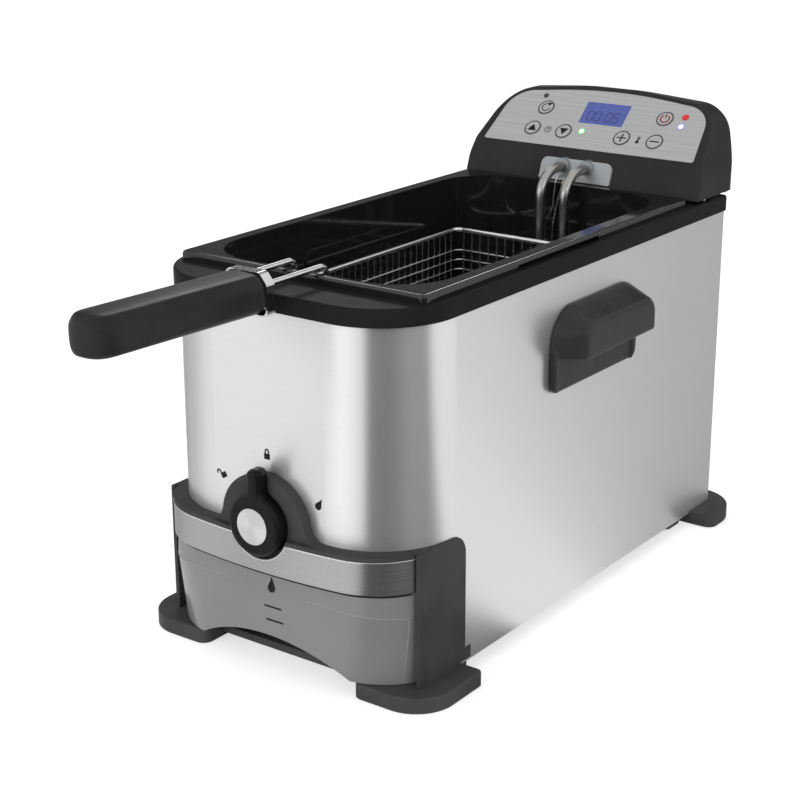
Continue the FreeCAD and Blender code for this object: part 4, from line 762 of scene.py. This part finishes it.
def knob_outline(sizes, inset):
    """Round body with a slim pointer, drawn smaller by the inset; (across, up) from the axis."""
    body, half, tip = sizes.body - inset, sizes.pointer - inset, sizes.tip - inset
    least_radius = 0.3 * MM
    tip_radius = max(sizes.tip_radius - inset, least_radius)
    fillet = sizes.fillet + inset
    rise = math.sqrt((body + fillet) ** 2 - (half + fillet) ** 2)
    lean = math.degrees(math.atan2(rise, half + fillet))
    right = arc((half - tip_radius, tip - tip_radius), tip_radius, 90.0, 0.0, 6)
    right += arc((half + fillet, rise), fillet, 180.0, 180.0 + lean, 8)
    right += arc((0.0, 0.0), body, lean, -90.0, 30)[1:]
    return right + [(-x, z) for x, z in reversed(right[:-1])]


class FRYER_OT_knob(bpy.types.Operator):
    """Knob with a rounded body and pointer, and its spun cap"""
    bl_idname = "fryer.knob"
    bl_label = "Knob"

    def execute(self, context):
        looks = context.scene.fryer_finishes
        plastic = moulded_plastic("knob plastic", looks.knob, smooth=0.2, rough=0.3, shine=0.12)
        self.body(plastic, context.scene.fryer_knob)
        dress(spun_metal("spun cap", looks.cap, knob_axis()), "knob_cap")
        return {"FINISHED"}

    def body(self, plastic, sizes):
        """Knob with a rounded front edge, in place of the plain one."""
        axis = knob_axis()
        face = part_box("knob_cap")[0].y + sizes.cap_step
        edge = sizes.rounding
        levels = [(0.0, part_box("filter_knob")[1].y)]
        for turn in spread(0.0, math.pi / 2, 6):
            levels.append((edge * (1 - math.cos(turn)), face + edge * (1 - math.sin(turn))))
        levels.append((edge + sizes.face_inset, face))
        sections = [[(x, y, axis + z) for x, z in knob_outline(sizes, inset)] for inset, y in levels]
        piece = skinned("rounded_knob", sections, "knob", plastic)
        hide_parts("filter_knob")


class FRYER_OT_container(bpy.types.Operator):
    """Finish of the oil container with painted highlight lines on its raised edges, drop sign and level
    lines
    """
    bl_idname = "fryer.container"
    bl_label = "Oil container"

    def execute(self, context):
        looks = context.scene.fryer_finishes
        sizes = context.scene.fryer_container
        dress(smoked_plastic("smoked plastic", looks.smoke), "oil_container")
        dress(moulded_plastic("lid plastic", looks.lid, smooth=0.4, rough=0.5), "container_lid")
        # Lighter copy of the smoked plastic: painted highlight lines on the panel's edges
        edge = moulded_plastic("panel highlight edge", looks.smoke_highlight_edge, smooth=0.2, rough=0.3, shine=0.5)
        self.panel_highlight_edges(edge, sizes)
        self.level_signs(printing_ink("level ink", looks.ink), sizes, context.scene.fryer_signs.lift)
        return {"FINISHED"}

    def panel_highlight_edges(self, plastic, sizes):
        """Thin lines of lighter plastic that paint the highlight on the panel's raised edges: a ridge at
        either side of the signs and one up each end.
        """
        low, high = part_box("oil_container")
        front = front_place("oil_container", 0.0)
        left, right = [], []
        for x in bowed_spread(sizes.reach):
            z = high.z - sizes.ridge - sizes.sag * (x / sizes.reach) ** 2
            if x < sizes.ridge_left:
                left.append(front(x, z))
            elif x > sizes.ridge_right:
                right.append(front(x, z))
        paths = [left, right]
        depth = low.y + sizes.end_depth
        heights = spread(low.z + sizes.end_low, high.z - sizes.end_top, 12)
        for side in (-1, 1):
            end = side_place("oil_container", side)
            paths.append([end(depth, z) for z in heights])
        wires("panel_highlight_edges", paths, sizes.ridge_wire, "drawer", plastic)

    def level_signs(self, ink, sizes, lift):
        """Drop sign, two level lines and the dark seam along the panel's top."""
        place = front_place("oil_container", lift)
        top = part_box("oil_container")[1].z
        x, up = sizes.drop_place
        shapes = drop_sign((x, top + up), sizes.drop)
        for x, up in (sizes.high_line, sizes.low_line):
            shapes.append(bar((x, top + up), *sizes.level_line))
        steps = bowed_spread(sizes.reach)
        seam_top = [(x, top - sizes.seam_top) for x in steps]
        seam_low = [(x, top - sizes.seam_low) for x in steps]
        shapes += strip(seam_top, seam_low)
        printed("container_signs", shapes, place, "drawer", ink)


class FRYER_OT_bowl(bpy.types.Operator):
    """Finish of the bowl"""
    bl_idname = "fryer.bowl"
    bl_label = "Bowl"

    def execute(self, context):
        dress(glossy_enamel("bowl enamel", context.scene.fryer_finishes.enamel), "oil_bowl")
        return {"FINISHED"}


def rounded_path(corners, radius, closed, steps=5):
    """Points along straight runs whose square corners are rounded."""
    corners = [Vector(corner) for corner in corners]
    points = []
    count = len(corners)
    for i, corner in enumerate(corners):
        if not closed and i in (0, count - 1):
            points.append(corner)
            continue
        back = (corners[i - 1] - corner).normalized()
        ahead = (corners[(i + 1) % count] - corner).normalized()
        centre = corner + (back + ahead) * radius
        for turn in spread(0.0, math.pi / 2, steps):
            points.append(centre - ahead * radius * math.cos(turn) - back * radius * math.sin(turn))
    return points


def evenly(low, high, pitch):
    """Places between two ends, close to the pitch and with a gap at each end."""
    count = max(2, round((high - low) / pitch))
    return spread(low, high, count)[1:-1]


class FRYER_OT_basket(bpy.types.Operator):
    """Basket nets of round welded wire, in place of the flat nets"""
    bl_idname = "fryer.basket"
    bl_label = "Basket"

    def execute(self, context):
        sizes = context.scene.fryer_basket
        metal = plated_wire("basket wire", context.scene.fryer_finishes.wire)
        dress(metal, "basket_rim", "basket_bracket")
        rim_low, rim_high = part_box("basket_rim")
        rim_radius = (rim_high.z - rim_low.z) / 2
        left, right = rim_low.x + rim_radius, rim_high.x - rim_radius
        front, rear = rim_low.y + rim_radius, rim_high.y - rim_radius
        # The net wires end inside the rim, and crossing wires are pressed a little into each other
        inside, pressed = 0.6, 0.92
        top = rim_low.z + rim_radius * inside
        step = sizes.thickness * pressed
        radius = sizes.thickness / 2
        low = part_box("basket_floor")[0].z + radius
        along = []
        for x in evenly(left, right, sizes.pitch):
            inner = [(x, front + step, top), (x, front + step, low + step), (x, rear - step, low + step),
                     (x, rear - step, top)]
            along.append(rounded_path(inner, sizes.fold, False))
        across = []
        for y in evenly(front, rear, sizes.pitch):
            outer = [(left, y, top), (left, y, low), (right, y, low), (right, y, top)]
            across.append(rounded_path(outer, sizes.fold, False))
        # The rim stands in for the highest hoop
        hoops = []
        for z in evenly(low + sizes.fold, top, sizes.pitch)[:-1]:
            level = [(left + step, front, z), (right - step, front, z), (right - step, rear, z),
                     (left + step, rear, z)]
            hoops.append(rounded_path(level, sizes.corner, True))
        floor = wires("basket_wires_across", across, radius, "basket", metal)
        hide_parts("basket_floor", "basket_left", "basket_right")
        ends = wires("basket_wires_along", along, radius, "basket", metal)
        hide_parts("basket_front", "basket_rear")
        wires("basket_hoops", hoops, radius, "basket", metal, closed=True)
        return {"FINISHED"}


def grip_section():
    """The grip's section, from its bottom round to its top and back, in parts of half width and height."""
    right = [(0.0, 0.0), (0.45, 0.0), (0.78, 0.05), (0.95, 0.18), (1.0, 0.4), (1.0, 0.66), (0.96, 0.77),
             (0.72, 0.95), (0.62, 0.985), (0.3, 1.0), (0.0, 1.0)]
    return right + [(-u, v) for u, v in reversed(right[1:-1])]


def round_off(along, reach):
    """Share of the full width at a distance from a round end of this reach."""
    return math.sqrt(1 - max(0.0, 1 - along / reach) ** 2)


class FRYER_OT_handle(bpy.types.Operator):
    """Basket handle: plated wires and ferrule, soft grip with a round butt"""
    bl_idname = "fryer.handle"
    bl_label = "Basket handle"

    def execute(self, context):
        looks = context.scene.fryer_finishes
        chrome = plated_wire("handle chrome", looks.wire, smooth=0.08, rough=0.16)
        dress(chrome, "handle_wires", "handle_ferrule")
        self.grip(moulded_plastic("grip plastic", looks.grip, smooth=0.26, rough=0.36, shine=0.08))
        return {"FINISHED"}

    def grip(self, plastic):
        """Sections swept from the round butt to the ferrule, in place of the plain grip."""
        low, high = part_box("handle_grip")
        meet = surface("handle_grip")
        half = half_width("handle_grip")

        def heights(y):
            """Bottom and top of the CAD grip at a depth."""
            bottom = meet((0.0, y, low.z - OUTSIDE), (0.0, 0.0, 1.0)).z
            return bottom, meet((0.0, y, high.z + OUTSIDE), (0.0, 0.0, -1.0)).z

        # The slope of the CAD grip is taken clear of its butt and of the ferrule
        butt_clear, ferrule_clear = 40.0 * MM, 30.0 * MM
        start, end = low.y + butt_clear, high.y - ferrule_clear
        (floor, top), (end_floor, end_top) = heights(start), heights(end)
        first_turn = 0.12
        stations = [half * (1 - math.cos(turn)) for turn in spread(first_turn, math.pi / 2, 9)]
        first_straight = half + 10.0 * MM
        stations += spread(first_straight, high.y - low.y, 10)
        flattening, flat_reach = 0.35, 0.7 * half
        sections = []
        for along in stations:
            share = (low.y + along - start) / (end - start)
            bottom = floor + (end_floor - floor) * share
            height = top + (end_top - top) * share - bottom
            width = half * round_off(along, half)
            squeeze = flattening * (1 - round_off(along, flat_reach))
            sections.append([(u * width, low.y + along, bottom + (v + squeeze * (0.5 - v)) * height)
                             for u, v in grip_section()])
        piece = skinned("round_grip", sections, "handle", plastic)
        smooth = piece.modifiers.new("smooth sweep", "SUBSURF")
        smooth.levels = 2
        smooth.render_levels = 2
        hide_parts("handle_grip")


class FRYER_OT_heater(bpy.types.Operator):
    """Finish of the heater tube, its bracket and the thermostat bulbs"""
    bl_idname = "fryer.heater"
    bl_label = "Heater"

    def execute(self, context):
        looks = context.scene.fryer_finishes
        even_grain = (60.0, 60.0, 60.0)
        tube = brushed_metal("heater tube", looks.tube, even_grain, smooth=0.25, rough=0.33)
        dress(tube, "heating_element")
        dress(satin_sheet("bracket", looks.bracket), "element_bracket")
        copper = plated_wire("bulb copper", looks.copper, smooth=0.2, rough=0.35)
        dress(copper, "thermostat_bulbs", "capillary_wires")
        return {"FINISHED"}


class FRYER_OT_head(bpy.types.Operator):
    """Control head: shell, brushed plate, lit display, lamps and what sits inside"""
    bl_idname = "fryer.head"
    bl_label = "Control head"

    def execute(self, context):
        looks = context.scene.fryer_finishes
        shell = moulded_plastic("head plastic", looks.head, smooth=0.3, rough=0.42, shine=0.06)
        dress(shell, "head_shell", "head_floor")
        long_grain = (10.0, 1600.0, 1600.0)
        plate = brushed_metal("panel plate", looks.plate, long_grain, smooth=0.3, rough=0.42,
                              metallic=0.75, contrast=0.14)
        dress(plate, "control_plate", *KEY_SIGNS)
        face = lit_plastic("display face", looks.display, glow=0.45, roughness=0.12, grains=60.0,
                           dark=0.88, light=1.1)
        dress(face, "display_window")
        dress(lit_plastic("dark lamp", looks.lamp_dark, glow=0.0), "lamp_change")
        dress(lit_plastic("green lamp", looks.lamp_green, glow=1.0), "lamp_filter")
        dress(lit_plastic("red lamp", looks.lamp_red, glow=0.2), "lamp_power")
        dress(lit_plastic("white lamp", looks.lamp_white, glow=1.0), "lamp_ready")
        inner = moulded_plastic("inner plastic", looks.inner, smooth=0.4, rough=0.5)
        dress(inner, "display_module", "safety_switch", "power_inlet")
        dress(moulded_plastic("board", looks.board, smooth=0.3, rough=0.4), "control_board")
        return {"FINISHED"}


class FRYER_OT_signs(bpy.types.Operator):
    """Printed signs on the keys, control plate, display and housing front, and the glow round the lamps"""
    bl_idname = "fryer.signs"
    bl_label = "Signs"

    def execute(self, context):
        looks = context.scene.fryer_finishes
        sizes = context.scene.fryer_signs
        plate = ControlPlate()
        ink = printing_ink("sign ink", looks.ink)
        self.key_signs(plate, ink, printing_ink("power ink", looks.power_ink), sizes)
        self.plate_signs(plate, ink, sizes)
        self.lamp_halos(plate, looks, sizes)
        self.display_digits(plate, dim_segments("display digits", looks.digits), sizes)
        self.front_signs(ink, sizes)
        return {"FINISHED"}

    def key_signs(self, plate, ink, red, sizes):
        """A ring and a sign on each key, which ride with the key."""
        radius = half_width("key_reset")
        ring_radius, sign_size = radius * 0.97, radius * 0.56
        for key, sign in KEY_SIGNS.items():
            centre = plate.middle(key)
            place = plate.above(plate.rise(key) + sizes.lift)
            printed(key + "_ring", ring(centre, ring_radius, sizes.ring), place, key, ink)
            tone = red if key == "key_power" else ink
            printed(key + "_sign", sign(centre, sign_size), place, key, tone)

    def plate_signs(self, plate, ink, sizes):
        """Clock between the timer keys and thermometer between the heat keys."""
        place = plate.above(sizes.lift)

        def between(first, second):
            left, right = plate.middle(first), plate.middle(second)
            return (left[0] + right[0]) / 2, left[1]

        clock = clock_sign(between("key_timer_up", "key_timer_down"), sizes.clock, sizes.ring * 0.75)
        printed("clock_sign", clock, place, "head", ink)
        heat = heat_sign(between("key_heat_up", "key_heat_down"))
        printed("heat_sign", heat, place, "head", ink)

    def lamp_halos(self, plate, looks, sizes):
        """Coloured glow on the plate round each lit lamp."""
        halos = (("lamp_filter", looks.halo_green, 0.5), ("lamp_ready", looks.halo_blue, 0.5),
                 ("lamp_power", looks.halo_red, 0.12))
        for lamp, tone, glow in halos:
            halo = lit_plastic(lamp + " halo", tone, glow)
            lens = half_width(lamp)
            halo_radius, halo_width = lens * 1.4, lens * 0.5
            shapes = ring(plate.middle(lamp), halo_radius, halo_width)
            printed(lamp + "_halo", shapes, plate.above(sizes.lift), "head", halo)

    def display_digits(self, plate, dim, sizes):
        """Four figures and a colon."""
        x, y = plate.middle("display_window")
        y -= sizes.figure_down
        place = plate.above(plate.rise("display_window") + sizes.lift)
        wide, tall = sizes.figure
        line = sizes.figure_line
        segments = {"0": "abcdef", "5": "acdfg"}
        shapes = []
        for text, across in (("0", -12.5), ("0", -5.5), ("0", 5.0), ("5", 12.0)):
            shapes += digit((x + across * MM, y), wide, tall, line, segments[text])
        for up in (-2.0, 2.0):
            shapes.append(bar((x - 0.2 * MM, y + up * MM), line, line))
        printed("display_digits", shapes, place, "head", dim)

    def front_signs(self, ink, sizes):
        """Closed lock, open lock and drop round the knob."""
        place = front_place("housing_wrap", sizes.lift)
        axis = knob_axis()

        def from_axis(offset):
            return offset[0], axis + offset[1]

        closed = lock_sign(from_axis(sizes.closed_lock), sizes.lock, False)
        printed("closed_lock_sign", closed, place, "housing", ink)
        centre = from_axis(sizes.open_lock)
        opened = turned(lock_sign(centre, sizes.lock, True), centre, sizes.open_turn)
        printed("open_lock_sign", opened, place, "housing", ink)
        centre = from_axis(sizes.filter_place)
        filter_drop = turned(drop_sign(centre, sizes.filter_drop), centre, sizes.filter_turn)
        printed("filter_drop_sign", filter_drop, place, "housing", ink)


def curved_sheet(rows, first, last, steps):
    """Points and faces of a sheet swept round the fryer, from rows of (reach, height).

    The first and last angles are in degrees from the front.
    """
    points = []
    for turn in spread(math.radians(first), math.radians(last), steps):
        points += [(reach * math.sin(turn), -reach * math.cos(turn), height) for reach, height in rows]
    count = len(rows)
    faces = []
    for start in range(0, steps * count, count):
        for a in range(start, start + count - 1):
            faces.append((a, a + 1, a + count + 1, a + count))
    return points, faces


class FRYER_OT_stage(bpy.types.Operator):
    """Pale floor, soft lamps, white surroundings, cards for the metal to mirror, and the camera"""
    bl_idname = "fryer.stage"
    bl_label = "Stage"

    def execute(self, context):
        settings = context.scene.fryer_stage
        self.surroundings(context.scene)
        self.floor(settings)
        self.toned_card()
        self.back_card(settings)
        self.lamp("key_lamp", settings.key, size=(1.4, 1.4), place=(-0.6, -2.2, 0.75))
        self.lamp("fill_lamp", settings.fill, size=(1.6, 1.6), place=(2.3, -0.5, 0.75))
        self.lamp("back_lamp", settings.back, size=(0.9, 0.35), place=(-0.95, 1.35, 1.1))
        self.camera(context.scene, settings)
        context.scene.view_settings.view_transform = "Standard"
        return {"FINISHED"}

    def surroundings(self, scene):
        """White to the camera and to reflections, softer as light."""
        world = bpy.data.worlds.new("white studio")
        scene.world = world
        world.use_nodes = True
        tree = world.node_tree
        background = tree.nodes["Background"]
        background.inputs["Color"].default_value = (1.0, 1.0, 1.0, 1.0)
        tree.links.new(self.where_seen(tree, unseen=0.45, seen=1.0), background.inputs["Strength"])

    def where_seen(self, tree, unseen, seen):
        """One value where a camera, glossy or transmission ray looks, another for other rays."""
        path = tree.nodes.new("ShaderNodeLightPath")
        total = path.outputs["Is Camera Ray"]
        for name in ("Is Glossy Ray", "Is Transmission Ray"):
            join = tree.nodes.new("ShaderNodeMath")
            join.operation = "MAXIMUM"
            tree.links.new(total, join.inputs[0])
            tree.links.new(path.outputs[name], join.inputs[1])
            total = join.outputs["Value"]
        level = tree.nodes.new("ShaderNodeMapRange")
        level.inputs["To Min"].default_value = unseen
        level.inputs["To Max"].default_value = seen
        tree.links.new(total, level.inputs["Value"])
        return level.outputs["Result"]

    def floor(self, settings):
        """Wide pale floor that keeps the shadow and is white where it is lit."""
        half = 8.0
        corners = [(-half, -half, 0), (half, -half, 0), (half, half, 0), (-half, half, 0)]
        finish = Finish("pale floor", settings.floor, {"Roughness": 0.9, "Specular IOR Level": 0.1})
        finish.shade(finish.cloud(3.0), scaled(settings.floor, 0.98), settings.floor)
        finish.shader.inputs["Emission Color"].default_value = (1.0, 1.0, 1.0, 1.0)
        glow = self.where_seen(finish.material.node_tree, unseen=0.0, seen=0.6)
        finish.links.new(glow, finish.shader.inputs["Emission Strength"])
        self.staged("floor", corners, [(0, 1, 2, 3)], finish.material)

    def toned_card(self):
        """Curved card round the front and right, whose tones the metal mirrors."""
        inner, outer = 0.1, 1.5
        foot, top = 0.002, 0.8
        rows = ((inner, foot), (outer, foot), (outer, top))
        points, faces = curved_sheet(rows, first=-110.0, last=170.0, steps=56)
        tree, glow = self.mirrored("card", points, faces)
        turn = tree.nodes.new("ShaderNodeTexGradient")
        turn.gradient_type = "RADIAL"
        tree.links.new(tree.nodes.new("ShaderNodeTexCoord").outputs["Object"], turn.inputs["Vector"])
        ramp = tree.nodes.new("ShaderNodeValToRGB")
        # Degrees from the front, and tone; the gradient starts a quarter turn before the front
        tones = ((-88, 0.5), (-68, 0.6), (-50, 0.9), (-36, 1.0), (-24, 0.8), (-8, 1.0), (16, 1.0),
                 (24, 0.05), (88, 0.05), (97, 1.0), (128, 1.0), (143, 0.68), (157, 0.42))
        stops = ramp.color_ramp.elements
        while len(stops) < len(tones):
            stops.new(0.5)
        for stop, (degrees, tone) in zip(stops, tones):
            stop.position = degrees / 360.0 + 0.25
            stop.color = (tone, tone, tone, 1.0)
        tree.links.new(turn.outputs["Fac"], ramp.inputs["Fac"])
        tree.links.new(ramp.outputs["Color"], glow.inputs["Color"])

    def back_card(self, settings):
        """Grey upright card at the back left, which level glossy faces mirror."""
        reach, foot, top = 2.3, 0.4, 2.6
        points, faces = curved_sheet(((reach, foot), (reach, top)), first=170.0, last=260.0, steps=18)
        glow = self.mirrored("back_card", points, faces)[1]
        glow.inputs["Color"].default_value = (*settings.back_tone, 1.0)

    def mirrored(self, name, points, faces):
        """Glowing sheet that only reflections show; gives its node tree and glow."""
        material = bpy.data.materials.new(name)
        material.use_nodes = True
        tree = material.node_tree
        tree.nodes.remove(tree.nodes["Principled BSDF"])
        glow = tree.nodes.new("ShaderNodeEmission")
        tree.links.new(glow.outputs["Emission"], tree.nodes["Material Output"].inputs["Surface"])
        sheet = self.staged(name, points, faces, material)
        sheet.visible_camera = False
        sheet.visible_diffuse = False
        sheet.visible_shadow = False
        return tree, glow

    def staged(self, name, points, faces, material):
        """Mesh that belongs to the stage and not to the part."""
        mesh = bpy.data.meshes.new(name)
        mesh.from_pydata(points, [], faces)
        mesh.materials.append(material)
        piece = bpy.data.objects.new(name, mesh)
        bpy.context.scene.collection.objects.link(piece)
        return piece

    def lamp(self, name, watts, size, place):
        """Soft rectangular lamp that faces the fryer."""
        data = bpy.data.lights.new(name, "AREA")
        data.energy = watts
        data.shape = "RECTANGLE"
        data.size, data.size_y = size
        lamp = bpy.data.objects.new(name, data)
        lamp.location = place
        fryer_middle = Vector((0.0, 0.05, 0.15))
        aim = fryer_middle - Vector(place)
        lamp.rotation_euler = aim.to_track_quat("-Z", "Y").to_euler()
        bpy.context.scene.collection.objects.link(lamp)

    def camera(self, scene, settings):
        """Camera fitted to the view in the photograph."""
        turn, lift, roll = settings.azimuth, settings.elevation, settings.roll
        back = Vector((math.sin(turn) * math.cos(lift), -math.cos(turn) * math.cos(lift), math.sin(lift)))
        right = Vector((math.cos(turn), math.sin(turn), 0.0))
        up = back.cross(right)
        across = right * math.cos(roll) + up * math.sin(roll)
        upward = up * math.cos(roll) - right * math.sin(roll)
        data = bpy.data.cameras.new("camera")
        data.lens = settings.lens
        data.sensor_width = 36.0
        camera = bpy.data.objects.new("camera", data)
        pose = Matrix((across, upward, back)).transposed().to_4x4()
        low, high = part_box("housing_wrap")
        pose.translation = Vector(settings.camera) + Vector((0.0, (low.y + high.y) / 2, 0.0))
        camera.matrix_world = pose
        scene.collection.objects.link(camera)
        scene.camera = camera


class FRYER_PT_looks(bpy.types.Panel):
    """Steps of the fryer's looks"""
    bl_label = "Deep fryer"
    bl_idname = "FRYER_PT_looks"
    bl_space_type = "VIEW_3D"
    bl_region_type = "UI"
    bl_category = "Fryer"

    def draw(self, context):
        for step in STEPS:
            self.layout.operator(step.bl_idname)


STEPS = (
    FRYER_OT_housing,
    FRYER_OT_knob,
    FRYER_OT_container,
    FRYER_OT_bowl,
    FRYER_OT_basket,
    FRYER_OT_handle,
    FRYER_OT_heater,
    FRYER_OT_head,
    FRYER_OT_signs,
    FRYER_OT_stage,
)
GROUPS = {
    "fryer_finishes": FryerFinishes,
    "fryer_band": FryerBand,
    "fryer_knob": FryerKnob,
    "fryer_container": FryerContainer,
    "fryer_basket": FryerBasket,
    "fryer_signs": FryerSigns,
    "fryer_stage": FryerStage,
}


def register():
    for group in GROUPS.values():
        bpy.utils.register_class(group)
    for name, group in GROUPS.items():
        setattr(bpy.types.Scene, name, PointerProperty(type=group))
    for step in STEPS:
        bpy.utils.register_class(step)
    bpy.utils.register_class(FRYER_PT_looks)


def unregister():
    bpy.utils.unregister_class(FRYER_PT_looks)
    for step in reversed(STEPS):
        bpy.utils.unregister_class(step)
    for name, group in reversed(GROUPS.items()):
        delattr(bpy.types.Scene, name)
        bpy.utils.unregister_class(group)


def main():
    register()
    bpy.ops.fryer.housing()
    bpy.ops.fryer.knob()
    bpy.ops.fryer.container()
    bpy.ops.fryer.bowl()
    bpy.ops.fryer.basket()
    bpy.ops.fryer.handle()
    bpy.ops.fryer.heater()
    bpy.ops.fryer.head()
    bpy.ops.fryer.signs()
    bpy.ops.fryer.stage()


if __name__ == "__main__":
    main()
